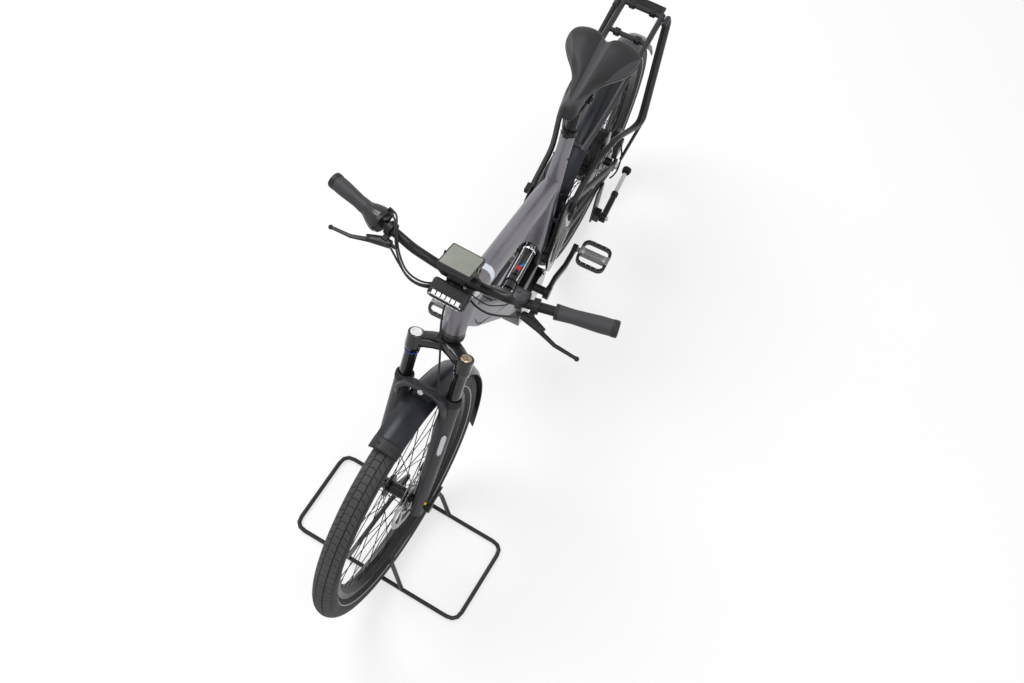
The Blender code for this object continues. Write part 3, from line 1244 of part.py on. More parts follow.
def front_axle(steering):
    """Thru axle with a head, a nut and a lever on the left."""
    outer = LEG_Y + LOWER_FOOT_RADIUS + FIT_GAP
    head_end = outer + FRONT_AXLE_RADIUS * 1.6
    axle = cylinder(FRONT_AXLE_RADIUS,
                    *across(FRONT_AXLE, outer + FRONT_AXLE_RADIUS, -outer - FRONT_AXLE_RADIUS * 0.7), 20)
    head = cylinder(FRONT_AXLE_RADIUS * 1.6, *across(FRONT_AXLE, outer, head_end), 20)
    nut = cylinder(FRONT_AXLE_RADIUS * 1.3, *across(FRONT_AXLE, -outer, -outer - FRONT_AXLE_RADIUS * 1.3),
                   20)
    grip = AXLE_LEVER_LENGTH
    handle = loft([(FRONT_AXLE + LEFT * (outer + FRONT_AXLE_RADIUS), FRONT_AXLE_RADIUS / 2,
                    FRONT_AXLE_RADIUS),
                   (FRONT_AXLE + LEFT * head_end + Vector((-grip * 0.78, 0, grip * 0.63)),
                    FRONT_AXLE_RADIUS / 2,
                    FRONT_AXLE_RADIUS * 0.8)], 10, 3)
    finish(join(axle, head, nut, handle), "front_axle", black_paint(), steering)


def stem_group(steering):
    """Headset ring and stem; hands back the middle of the bar."""
    clamp_centre = STEM_BOTTOM + STEM_HEIGHT / 2
    ring_radius = HEAD_RADIUS_HIGH * 0.97
    ring_piece = turned([(HEAD_BORE, RING_HEIGHT), (ring_radius, RING_HEIGHT), (ring_radius, 0),
                         (HEAD_BORE, 0)], 32,
                        steer(0, 0, HEAD_TOP + FIT_GAP), STEER_UP)
    finish(ring_piece, "headset_ring", bare_steel(), steering)
    body = cylinder(STEM_RADIUS, steer(0, 0, HEAD_TOP + RING_HEIGHT + 2 * FIT_GAP),
                    steer(0, 0, STEM_BOTTOM + STEM_HEIGHT))
    bar_at = steer(BAR_REACH, 0, clamp_centre + BAR_RISE)
    arm = loft([(steer(0, 0, clamp_centre), STEM_RADIUS * 0.8, STEM_HEIGHT * 0.42),
                (steer(BAR_REACH * 0.5, 0, clamp_centre + BAR_RISE * 0.5), STEM_RADIUS * 0.75,
                 STEM_HEIGHT * 0.36),
                (bar_at, STEM_RADIUS * 0.9, STEM_HEIGHT * 0.4)], 12, 3.5)
    grip_ring = cylinder(BAR_CLAMP_RADIUS + STEM_CLAMP_WALL, *across(bar_at, STEM_RADIUS, -STEM_RADIUS))
    whole = join(body, arm, grip_ring)
    bore = cylinder(bore_radius(BAR_CLAMP_RADIUS),
                    *across(bar_at, STEM_RADIUS + OVERRUN, -STEM_RADIUS - OVERRUN))
    finish(cut(whole, bore), "stem", black_paint(), steering)
    return bar_at


def bar_points(bar_at):
    """Corner points of the left half of the bar, from its middle to its end."""
    end = bar_at + Vector((-BAR_END_BACK, BAR_HALF_WIDTH - GRIP_WALL, BAR_END_UP))
    bend = bar_at + Vector((BAR_SWEEP, BAR_BEND_Y, BAR_END_UP * 0.9))
    return [bar_at, bar_at + LEFT * BAR_FLAT_HALF, bend, end]


def bar_line(bar_at):
    """Start and direction of the straight outer stretch of the bar on the left."""
    points = bar_points(bar_at)
    return points[2], (points[3] - points[2]).normalized()


def flip(point):
    return Vector((point[0], -point[1], point[2]))


def cockpit(steering, bar_at):
    """Riser bar with its grips, twist shifter, brake levers and remote."""
    points = bar_points(bar_at)
    left_path = rounded_path(points, BAR_CLAMP_RADIUS)
    path = [flip(p) for p in reversed(left_path[1:])] + left_path
    radii = [BAR_CLAMP_RADIUS if abs(p[1]) < BAR_FLAT_HALF * 0.9 else BAR_RADIUS for p in path]
    finish(tube(path, BAR_RADIUS, 3, radii=radii), "handlebar", black_paint(), steering)
    direction = bar_line(bar_at)[1]
    end = points[3] + direction * GRIP_WALL
    inner = bore_radius(BAR_RADIUS)
    floor = FIT_GAP - GRIP_WALL
    for name, length, place, way in (("grip_left", GRIP_LENGTH, end, direction),
                                     ("grip_right", RIGHT_GRIP_LENGTH, flip(end), flip(direction))):
        profile = [(0, 0), (GRIP_RADIUS * 0.9, 0), (GRIP_RADIUS * 1.05, -GRIP_WALL),
                   (GRIP_RADIUS * 1.08, -length * 0.30),
                   (GRIP_RADIUS * 0.92, -length * 0.75), (GRIP_RADIUS, -length), (inner, -length),
                   (inner, floor), (0, floor)]
        finish(turned(profile, 20, place, way), name, material("grip_grey", (0.06, 0.06, 0.065), 0.75),
               steering)
    finish(twist_shifter(flip(end), flip(direction)), "twist_shifter", black_plastic(), steering)
    for side, name in ((1, "brake_lever_left"), (-1, "brake_lever_right")):
        levers(steering, side, name, end, direction)
    centre = end - direction * (LEVER_CLAMP_INSET + REMOTE_INSET)
    up = BAR_RADIUS + 2 * FIT_GAP + REMOTE_HEIGHT / 2
    pad = plate([(-REMOTE_LENGTH * 0.5, -REMOTE_WIDTH / 2), (REMOTE_LENGTH * 0.2, -REMOTE_WIDTH / 2),
                 (REMOTE_LENGTH * 0.5, 0), (REMOTE_LENGTH * 0.2, REMOTE_WIDTH / 2),
                 (-REMOTE_LENGTH * 0.5, REMOTE_WIDTH / 2)],
                REMOTE_HEIGHT)
    pad.rotation_euler = (0, 0, 0)
    pad.location = centre + Vector((REMOTE_LENGTH * 0.1, 0, up))
    ring_piece = turned([(inner, LEVER_CLAMP_WIDTH / 2), (inner + CLAMP_WALL, LEVER_CLAMP_WIDTH / 2),
                         (inner + CLAMP_WALL, -LEVER_CLAMP_WIDTH / 2), (inner, -LEVER_CLAMP_WIDTH / 2)], 20,
                         centre, direction)
    finish(join(bake(pad), ring_piece), "remote", black_plastic(), steering)


def twist_shifter(end, direction):
    """Bell of the twist shifter inside the right grip, with the loop that its cables leave through."""
    inner = bore_radius(BAR_RADIUS)
    start = -RIGHT_GRIP_LENGTH - FIT_GAP
    stop = start - SHIFTER_LENGTH
    shares = ((0, GRIP_RADIUS * 1.05), (0.2, SHIFTER_RADIUS * 0.72), (0.6, SHIFTER_RADIUS * 0.94),
              (0.85, SHIFTER_RADIUS),
              (1, SHIFTER_RADIUS * 0.84))
    bell = turned([(inner, start)] + [(radius, start + (stop - start) * share) for share, radius in shares]
                  + [(inner, stop)], 24, end, direction)
    root = end + direction * (stop + SHIFTER_LENGTH / 5)
    rise = Vector((0, 0, SHIFTER_RADIUS * 0.6))
    inward = direction * -SHIFTER_LOOP_REACH
    back = FORWARD * -SHIFTER_RADIUS
    loop = tube(rounded_path([root + rise, root + inward + rise, root + inward + rise * 0.5 + back * 0.9,
                              root + back * 0.7], SHIFTER_LOOP_REACH / 2), SHIFTER_LOOP_RADIUS)
    return join(bell, loop)


def levers(steering, side, name, end, direction):
    """Brake lever with its clamp, cylinder body and blade with a ball end."""
    centre = end - direction * LEVER_CLAMP_INSET
    inner = bore_radius(BAR_RADIUS)
    half = LEVER_CLAMP_WIDTH / 2
    reach, ahead, drop = LEVER_REACH, LEVER_AHEAD, LEVER_DROP
    ball_radius = LEVER_BALL_RADIUS
    clamp = turned([(inner, half), (inner + CLAMP_WALL, half), (inner + CLAMP_WALL, -half), (inner, -half)],
                   20, centre, direction)
    body = loft([(centre - direction * reach * 0.14 + Vector((ahead * 0.32, 0, -drop * 0.26)), half * 1.3,
                  half * 1.15),
                 (centre + direction * reach * 0.03 + Vector((ahead * 0.40, 0, -drop * 0.32)), half * 1.6,
                  half * 1.3),
                 (centre + direction * reach * 0.31 + Vector((ahead * 0.63, 0, -drop * 0.42)), half * 1.15,
                  half)],
                10, 3, FORWARD)
    link_piece = block((ahead * 0.21, LEVER_CLAMP_WIDTH * 0.9, CLAMP_WALL * 2),
                       centre + Vector((ahead * 0.29, 0, -drop * 0.16)))
    tip = centre + direction * reach + Vector((ahead, 0, -drop))
    blade = loft([(centre + direction * reach * 0.23 + Vector((ahead * 0.61, 0, -drop * 0.42)), ball_radius,
                   ball_radius * 0.8),
                  (centre + direction * reach * 0.58 + Vector((ahead * 0.87, 0, -drop * 0.68)),
                   ball_radius * 0.8,
                   ball_radius * 0.65), (tip, ball_radius * 0.65, ball_radius * 0.65)], 8, 2.4, FORWARD)
    ball = turned([(ball_radius * sin(pi * i / 4), ball_radius * cos(pi * i / 4)) for i in range(5)], 12,
                  tip, LEFT)
    whole = join(clamp, link_piece, body, blade, ball)
    if side < 0:
        turned_over = mirrored(whole)
        bpy.data.objects.remove(whole)
        whole = turned_over
    finish(whole, name, black_paint(), steering)


def display_and_lamp(steering, bar_at):
    """Tilted display on the stem clamp and the headlight in front of it."""
    unit = block((DISPLAY_LENGTH, DISPLAY_WIDTH, DISPLAY_THICKNESS), bar_at + Vector((0, 0, DISPLAY_RISE)),
                 (0, -DISPLAY_TILT, 0), DISPLAY_EDGE)
    foot_low = BAR_CLAMP_RADIUS + STEM_CLAMP_WALL + FIT_GAP
    foot = block((DISPLAY_FOOT_LENGTH, DISPLAY_FOOT_WIDTH, DISPLAY_RISE - foot_low),
                 bar_at + Vector((0, 0, (foot_low + DISPLAY_RISE) / 2)))
    finish(join(unit, foot), "display", black_plastic(), steering)
    lamp = block((LAMP_LENGTH, LAMP_WIDTH, LAMP_HEIGHT), bar_at + Vector((LAMP_AHEAD, 0, -LAMP_DROP)),
                 (0, LAMP_TILT, 0), LAMP_EDGE, 3)
    finish(lamp, "headlight", black_plastic(), steering)


def wheel_stand(steering, front_wheel):
    """Floor frame of steel tube with a hoop on each side of the tyre, turned with the parked wheel."""
    radius = STAND_RADIUS
    spread = STAND_HALF_SPREAD
    back = -STAND_BACK
    front = STAND_FRONT
    corners = [(back, spread), (front, spread), (front, -spread), (back, -spread)]
    path = []
    for i, corner in enumerate(corners):
        before, after = corners[i - 1], corners[(i + 1) % 4]
        bend = rounded_path([(*before, 0), (*corner, 0), (*after, 0)], STAND_CORNER)[1:-1]
        path += [(point[0], point[1], radius) for point in bend]
    pieces = [tube(path, radius, 2, closed=True)]
    grip_y = TYRE_WIDTH / 2 + STAND_GRIP_GAP + radius
    for side in (1, -1):
        y = side * grip_y
        foot = y + side * STAND_FOOT_SPLAY
        hoop = rounded_path([(back, foot, radius), (back, y, STAND_HOOP_REAR_HEIGHT),
                             (front, y, STAND_HOOP_FRONT_HEIGHT),
                             (front, foot, radius)], STAND_CORNER)
        pieces.append(tube(hoop, radius))
    stand = join(*pieces)
    axle = front_wheel.matrix_world.translation
    across_wheel = (front_wheel.matrix_world.to_3x3() @ LEFT).normalized()
    heading = atan2(-across_wheel.x, across_wheel.y)
    lean = across_wheel.z / across_wheel.y * (TYRE_RADIUS - STAND_HOOP_REAR_HEIGHT)
    stand.matrix_world = (Matrix.Translation((axle.x, axle.y, 0)) @ Matrix.Rotation(heading, 4, "Z")
                          @ Matrix.Translation((0, lean, 0)))
    finish(stand, "wheel_stand", material("stand_black", (0.02, 0.02, 0.02), 0.35, 0.3), steering)


def kickstand(hinge):
    """Folded kickstand on the left chain stay: bracket with its pin, and the leg with its foot."""
    pivot = rear(KICK_AHEAD, KICK_Y, -KICK_DROP)
    inner_face = KICK_Y - KICK_RADIUS - 2 * RUN_GAP
    share = (KICK_AHEAD - KICK_BASE_LENGTH / 2) / (STAY_BEND_SHARE * PIVOT_AHEAD)
    stay_y = DROPOUT_Y + (STAY_Y + 2 * STAY_HALF_WIDTH - DROPOUT_Y) * share
    plate_y = stay_y + DROPOUT_THICKNESS / 2 + (STAY_HALF_WIDTH - DROPOUT_THICKNESS / 2) * share + FIT_GAP
    thick = KICK_BASE_THICKNESS
    low = pivot.z - KICK_EYE_RADIUS
    high = REAR_AXLE.z + STAY_HALF_HEIGHT
    base = block((KICK_BASE_LENGTH, thick, high - low),
                 Vector((pivot.x, plate_y + thick / 2, (low + high) / 2)),
                 (0, 0, 0), thick / 3)
    arm = block((KICK_ARM_LENGTH, inner_face - plate_y, KICK_ARM_HEIGHT),
                Vector((pivot.x, (plate_y + inner_face) / 2, pivot.z)), (0, 0, 0), thick / 2)
    pin = cylinder(KICK_PIN_RADIUS, *across(Vector((pivot.x, 0, pivot.z)), inner_face - thick,
                                            KICK_Y + 1.5 * KICK_EYE_HALF), 20)
    finish(join(base, arm, pin), "kickstand_bracket", black_paint())
    tip = pivot + Vector((-KICK_LENGTH, KICK_OUT, KICK_RISE))
    eye = cylinder(KICK_EYE_RADIUS, *across(pivot, -KICK_EYE_HALF, KICK_EYE_HALF), 16)
    upper = tube([pivot, pivot.lerp(tip, 0.5)], KICK_RADIUS, 3)
    lower = tube([pivot.lerp(tip, 0.45), tip], KICK_RADIUS * 0.7, 3)
    size = KICK_FOOT
    foot = loft([(tip + Vector((size * 0.7, 0, 0)), size * 0.85, size * 0.7),
                 (tip + Vector((-size * 0.3, 0, -size * 0.3)), size, size * 0.85),
                 (tip + Vector((-size, 0, -size * 1.15)), size * 0.85, size * 0.6)], 12, 2.4)
    leg = join(eye, upper, lower, foot)
    bore = cylinder(KICK_PIN_RADIUS + RUN_GAP, *across(pivot, -KICK_EYE_HALF * 2, KICK_EYE_HALF * 2), 20)
    finish(cut(leg, bore), "kickstand_leg", material("stand_leg_silver", (0.45, 0.46, 0.47), 0.35, 0.9),
           hinge)


def main():
    clear_scene()
    steering = empty("steering_axis", STEER_ORIGIN, (0, -(pi / 2 - HEAD_ANGLE), 0))
    front_wheel = empty("front_wheel_axis", FRONT_AXLE, parent=steering)
    rear_wheel = empty("rear_wheel_axis", REAR_AXLE)
    crank = empty("crank_axis", CRANK_CENTRE)
    pedal_left = empty("pedal_left_axis", CRANK_CENTRE + Vector((-CRANK_LENGTH, 0, 0)), parent=crank)
    pedal_right = empty("pedal_right_axis", CRANK_CENTRE + Vector((CRANK_LENGTH, 0, 0)), parent=crank)
    kick_hinge = empty("kickstand_axis", rear(KICK_AHEAD, KICK_Y, -KICK_DROP))
    frame()
    battery_cover()
    motor()
    shock()
    swingarm()
    rear_axle()
    belt()
    seatpost_group()
    saddle()
    rack()
    mudguards(steering)
    mudguard_bridge(steering)
    brakes(steering)
    fork(steering)
    bar_at = stem_group(steering)
    cockpit(steering, bar_at)
    display_and_lamp(steering, bar_at)
    kickstand(kick_hinge)
    wheels(front_wheel, rear_wheel)
    rear_ring = sprocket(REAR_AXLE, REAR_SPROCKET_TEETH, bore_radius(REAR_SLEEVE_RADIUS, 24), BELT_Y, 0)
    finish(rear_ring, "rear_sprocket", black_paint(), rear_wheel)
    crankset(crank)
    pedal(1, pedal_left)
    pedal(-1, pedal_right)
    steering.matrix_basis = steering.matrix_basis @ Matrix.Rotation(STEER_TURN, 4, "Z")
    bpy.context.view_layer.update()
    wheel_stand(steering, front_wheel)


main()
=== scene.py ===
"""Looks of the electric bicycle in its wheel stand: camera, studio, materials and small details."""
import math

import bmesh
import bpy
from mathutils import Matrix, Vector


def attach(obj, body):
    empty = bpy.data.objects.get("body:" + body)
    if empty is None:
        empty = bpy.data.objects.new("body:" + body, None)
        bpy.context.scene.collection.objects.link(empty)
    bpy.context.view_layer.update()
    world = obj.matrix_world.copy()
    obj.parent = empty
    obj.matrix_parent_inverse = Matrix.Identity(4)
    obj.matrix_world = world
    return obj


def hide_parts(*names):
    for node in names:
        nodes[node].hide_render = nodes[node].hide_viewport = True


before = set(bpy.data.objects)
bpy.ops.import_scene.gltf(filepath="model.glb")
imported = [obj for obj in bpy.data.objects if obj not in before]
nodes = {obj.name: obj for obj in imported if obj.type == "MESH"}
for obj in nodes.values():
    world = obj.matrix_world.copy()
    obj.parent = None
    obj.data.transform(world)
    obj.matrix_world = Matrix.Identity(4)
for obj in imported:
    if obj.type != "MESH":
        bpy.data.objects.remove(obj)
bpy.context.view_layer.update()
scene = bpy.context.scene
looks = {}

# Sizes and places of the CAD, in metres
TYRE_RADIUS = 0.354
TYRE_HALF = 0.03
REAR_AXLE = Vector((-0.589, 0, TYRE_RADIUS))
FRONT_AXLE = Vector((0.589, 0, TYRE_RADIUS))
CRANK = REAR_AXLE + Vector((0.45, 0, -0.055))
HEAD_ANGLE = math.radians(67.0)
SEAT_ANGLE = math.radians(72.0)
STEER_UP = Vector((-math.cos(HEAD_ANGLE), 0, math.sin(HEAD_ANGLE)))
STEER_AHEAD = Vector((math.sin(HEAD_ANGLE), 0, math.cos(HEAD_ANGLE)))
STEER_ORIGIN = FRONT_AXLE - STEER_AHEAD * 0.044
SEAT_UP = Vector((-math.cos(SEAT_ANGLE), 0, math.sin(SEAT_ANGLE)))
SEAT_AHEAD = Vector((SEAT_UP.z, 0, -SEAT_UP.x))
LEFT = Vector((0, 1, 0))
AHEAD = Vector((1, 0, 0))
UP = Vector((0, 0, 1))
TURN = (Matrix.Translation(STEER_ORIGIN) @ Matrix.Rotation(math.radians(-4.9), 4, STEER_UP)
    @ Matrix.Translation(-STEER_ORIGIN))
HEAD_LOW, HEAD_HIGH = 0.5, 0.64
LEG_AHEAD, LEG_Y = 0.052, 0.065
GUARD_RADIUS = 0.3657
SPOKES = 32
KICKSTAND = REAR_AXLE + Vector((0.1025, 0.109, -0.119))
TOP_TUBE_BACK = 0.52 * 0.69

# The camera that the photograph was solved for, and the light
YAW, PITCH, ROLL = 195.2221, 61.8319, 11.6778
CAMERA_PLACE = (1.6747, 0.5022, 3.4519)
FOCAL_PIXELS, PHOTO_WIDTH, SENSOR = 1317.1279, 1024, 36
FLOOR_HALF, FLOOR_GLOW = 9, 0.6
WORLD_DIFFUSE, WORLD_SEEN = 0.6, 1.0
LAMPS = (("key", (-0.6, -2.6, 4.2), 2.4, 125), ("front", (1.6, 1.3, 4.2), 2.8, 55))

WELD = 0.000005
CREASE = 38


def steer(ahead, left, up):
    """A point of the fork or cockpit with the wheel straight ahead; such pieces are made turned."""
    return STEER_ORIGIN + STEER_AHEAD * ahead + LEFT * left + STEER_UP * up


def rear(ahead, left, up):
    """A point given from the rear axle."""
    return REAR_AXLE + Vector((ahead, left, up))


def seat(up, ahead=0.0):
    """A point given from the crank along the seat tube."""
    return CRANK + SEAT_UP * up + SEAT_AHEAD * ahead


BAR = steer(0.066, 0, 0.7153)


def bar(ahead, left, up):
    """A point given from the middle of the handlebar."""
    return BAR + Vector((ahead, left, up))


BAR_BEND = bar(0.006, 0.115, 0.0234)
BAR_TIP = bar(-0.05, 0.351, 0.026)
GRIP_WAY = (BAR_TIP - BAR_BEND).normalized()
BAR_END = BAR_TIP + GRIP_WAY * 0.004
CLAMP = BAR_END - GRIP_WAY * 0.1795


def flip(point, side=-1):
    """The point on the other side of the bicycle, or the point itself with side 1."""
    return Vector((point[0], side * point[1], point[2]))


def ray(angle):
    """The direction from an axle at that angle above straight ahead."""
    return Vector((math.cos(angle), 0, math.sin(angle)))


def tilted(degrees):
    """Outward and forward directions of a face that slopes down to the front."""
    tilt = math.radians(degrees)
    return Vector((math.sin(tilt), 0, math.cos(tilt))), Vector((math.cos(tilt), 0, -math.sin(tilt)))


def circle(count):
    """Angles that are evenly spread over a full turn."""
    return [2 * math.pi * k / count for k in range(count)]


def basis(centre, x_axis, z_axis):
    """A placing matrix with local X near x_axis and local Z along z_axis."""
    z = Vector(z_axis).normalized()
    x = Vector(x_axis)
    x = (x - z * x.dot(z)).normalized()
    place = Matrix((x, z.cross(x), z)).transposed().to_4x4()
    place.translation = Vector(centre)
    return place


def side_place(x, y, z, side=1):
    """A placing matrix for an outline that is drawn as (ahead, up) in a side view."""
    return Matrix(((1, 0, 0, x), (0, 0, -side, y), (0, 1, 0, z), (0, 0, 0, 1)))


def smooth_line(points, steps=6):
    """Points on a smooth curve through the given points."""
    points = [Vector(p) for p in points]
    ends = [points[0] * 2 - points[1]] + points + [points[-1] * 2 - points[-2]]
    line = []
    for i in range(len(points) - 1):
        a, b, c, d = ends[i:i + 4]
        for k in range(steps):
            t = k / steps
            line.append(0.5 * (2 * b + (c - a) * t + (2 * a - 5 * b + 4 * c - d) * t * t + (3 * b - a - 3 * c
                + d) * t * t * t))
    return line + [points[-1]]


def rounded(half_x, half_y, corner, steps=4):
    """Outline of a rectangle with rounded corners."""
    outline = []
    for k, (sx, sy) in enumerate(((1, 1), (-1, 1), (-1, -1), (1, -1))):
        for i in range(steps + 1):
            angle = math.pi / 2 * (k + i / steps)
            outline.append((sx * (half_x - corner) + corner * math.cos(angle),
                sy * (half_y - corner) + corner * math.sin(angle)))
    return outline


class Shape:
    """A piece that is put together from lathed, swept and cut-out forms."""

    def __init__(self):
        self.mesh = bmesh.new()
        self.slot = 0

    def skin(self, loops, ring=True, caps=True, closed=False):
        """Faces from loop to loop, with end caps."""
        rows = [[self.mesh.verts.new(point) for point in loop] for loop in loops]
        count = len(rows[0])
        for i in range(len(rows) if closed else len(rows) - 1):
            first, second = rows[i], rows[(i + 1) % len(rows)]
            for k in range(count if ring else count - 1):
                m = (k + 1) % count
                self.mesh.faces.new((first[k], first[m], second[m], second[k])).material_index = self.slot
        if caps and not closed:
            for row in (rows[0][::-1], rows[-1]):
                self.mesh.faces.new(row).material_index = self.slot
        return rows

    def lathe(self, profile, centre, axis, steps=24):
        """Spins (radius, offset) pairs round an axis."""
        axis = Vector(axis).normalized()
        side = axis.orthogonal().normalized()
        other = axis.cross(side)
        loops = []
        for radius, offset in profile:
            radius = max(radius, 0.00002)
            loops.append([centre + axis * offset + (side * math.cos(a) + other * math.sin(a)) * radius
                for a in circle(steps)])
        self.skin(loops)

    def sweep(self, points, radius, sides=10, closed=False, side=None):
        """A tube along points; side turns its first corner that way."""
        count = len(points)
        loops = []
        normal = None
        for i, point in enumerate(points):
            before = points[i - 1] if i or closed else points[0]
            after = points[(i + 1) % count] if i < count - 1 or closed else points[-1]
            along = (after - before).normalized()
            if side is not None:
                normal = Vector(side)
            elif normal is None:
                normal = along.orthogonal()
            normal = (normal - along * along.dot(normal)).normalized()
            other = along.cross(normal)
            loops.append([point + normal * radius * math.cos(a) + other * radius * math.sin(a)
                for a in circle(sides)])
        self.skin(loops, closed=closed)

    def slab(self, outline, thickness, place, rounding=0.0, segments=2):
        """A plate of that outline, centred on the placing matrix, with rounded edges."""
        half = thickness / 2
        before = set(self.mesh.edges)
        self.skin([[place @ Vector((x, y, z)) for x, y in outline] for z in (-half, half)])
        if rounding:
            fresh = [edge for edge in self.mesh.edges if edge not in before]
            bmesh.ops.bevel(self.mesh, geom=fresh, offset=rounding, segments=segments, profile=0.5,
                affect="EDGES")

    def bolt(self, centre, axis, radius, height):
        """A round bolt head with a sunk socket."""
        profile = [(radius, -radius), (radius, height * 0.6), (radius * 0.8, height), (radius * 0.5, height),
            (radius * 0.48, height * 0.3), (0, height * 0.3)]
        self.lathe(profile, centre, axis, 18 if radius > 0.0025 else 12)

    def done(self, name, body, *surfaces, turn=False, replaces=(), angle=CREASE):
        """Makes the object, gives it its materials and lets it ride on its body."""
        bmesh.ops.remove_doubles(self.mesh, verts=self.mesh.verts, dist=WELD)
        bmesh.ops.recalc_face_normals(self.mesh, faces=self.mesh.faces)
        mesh = bpy.data.meshes.new(name)
        self.mesh.to_mesh(mesh)
        self.mesh.free()
        if turn:
            mesh.transform(TURN)
        for surface in surfaces:
            mesh.materials.append(looks[surface])
        mesh.shade_smooth()
        mesh.set_sharp_from_angle(angle=math.radians(angle))
        obj = bpy.data.objects.new(name, mesh)
        scene.collection.objects.link(obj)
        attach(obj, body)
        if replaces:
            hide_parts(*replaces)
        return obj


def turned(name, body, surface, *form, **how):
    """A piece that is one lathed form."""
    shape = Shape()
    shape.lathe(*form)
    shape.done(name, body, surface, **how)


def thicken(obj, thickness, offset=-1):
    """Gives a one-sided piece its thickness."""
    thick = obj.modifiers.new("thick", "SOLIDIFY")
    thick.thickness = thickness
    thick.offset = offset


def aim_camera():
    """Places the camera of the photograph."""
    yaw, pitch, roll = (math.radians(a) for a in (YAW, PITCH, ROLL))
    ahead = Vector((math.cos(yaw) * math.cos(pitch), math.sin(yaw) * math.cos(pitch), -math.sin(pitch)))
    right = ahead.cross(UP).normalized()
    above = right.cross(ahead)
    level = right * math.cos(roll) + above * math.sin(roll)
    upright = above * math.cos(roll) - right * math.sin(roll)
    lens = bpy.data.cameras.new("camera")
    lens.lens = FOCAL_PIXELS * SENSOR / PHOTO_WIDTH
    lens.clip_end = 50
    camera = bpy.data.objects.new("camera", lens)
    scene.collection.objects.link(camera)
    matrix = Matrix((level, upright, -ahead)).transposed().to_4x4()
    matrix.translation = CAMERA_PLACE
    camera.matrix_world = matrix
    scene.camera = camera


def seen_ray(tree):
    """1 where the background is seen straight, in a reflection or through glass."""
    path = tree.nodes.new("ShaderNodeLightPath")
    seen = path.outputs["Is Camera Ray"]
    for ray in ("Is Glossy Ray", "Is Transmission Ray"):
        either = tree.nodes.new("ShaderNodeMath")
        either.operation = "MAXIMUM"
        tree.links.new(seen, either.inputs[0])
        tree.links.new(path.outputs[ray], either.inputs[1])
        seen = either.outputs[0]
    return seen


def studio():
    """White floor and soft light from above and both sides."""
    mesh = bpy.data.meshes.new("floor")
    corners = [(x * FLOOR_HALF, y * FLOOR_HALF, 0) for x, y in ((-1, -1), (1, -1), (1, 1), (-1, 1))]
    mesh.from_pydata(corners, [], [(0, 1, 2, 3)])
    floor = bpy.data.objects.new("floor", mesh)
    scene.collection.objects.link(floor)
    floor.location.z = -0.001
    made = bpy.data.materials.new("floor_white")
    made.use_nodes = True
    tree = made.node_tree
    shader = tree.nodes["Principled BSDF"]
    shader.inputs["Base Color"].default_value = (0.93, 0.93, 0.935, 1)
    shader.inputs["Roughness"].default_value = 0.6
    glow = tree.nodes.new("ShaderNodeEmission")
    glow.inputs["Strength"].default_value = 1.0
    share = tree.nodes.new("ShaderNodeMath")
    share.operation = "MULTIPLY"
    share.inputs[1].default_value = FLOOR_GLOW
    tree.links.new(seen_ray(tree), share.inputs[0])
    mixed = tree.nodes.new("ShaderNodeMixShader")
    tree.links.new(share.outputs[0], mixed.inputs["Fac"])
    tree.links.new(shader.outputs["BSDF"], mixed.inputs[1])
    tree.links.new(glow.outputs["Emission"], mixed.inputs[2])
    tree.links.new(mixed.outputs["Shader"], tree.nodes["Material Output"].inputs["Surface"])
    floor.data.materials.append(made)
    world = bpy.data.worlds.new("studio")
    world.use_nodes = True
    back = world.node_tree.nodes["Background"]
    back.inputs["Color"].default_value = (1, 1, 1, 1)
    level = world.node_tree.nodes.new("ShaderNodeMapRange")
    level.inputs["To Min"].default_value = WORLD_DIFFUSE
    level.inputs["To Max"].default_value = WORLD_SEEN
    world.node_tree.links.new(seen_ray(world.node_tree), level.inputs["Value"])
    world.node_tree.links.new(level.outputs["Result"], back.inputs["Strength"])
    scene.world = world
    for name, place, size, power in LAMPS:
        light = bpy.data.lights.new(name, "AREA")
        light.size = size
        light.energy = power
        lamp = bpy.data.objects.new(name, light)
        scene.collection.objects.link(lamp)
        lamp.location = place
        lamp.rotation_mode = "QUATERNION"
        lamp.rotation_quaternion = (Vector((0, 0, 0.4)) - Vector(place)).to_track_quat("-Z", "Y")


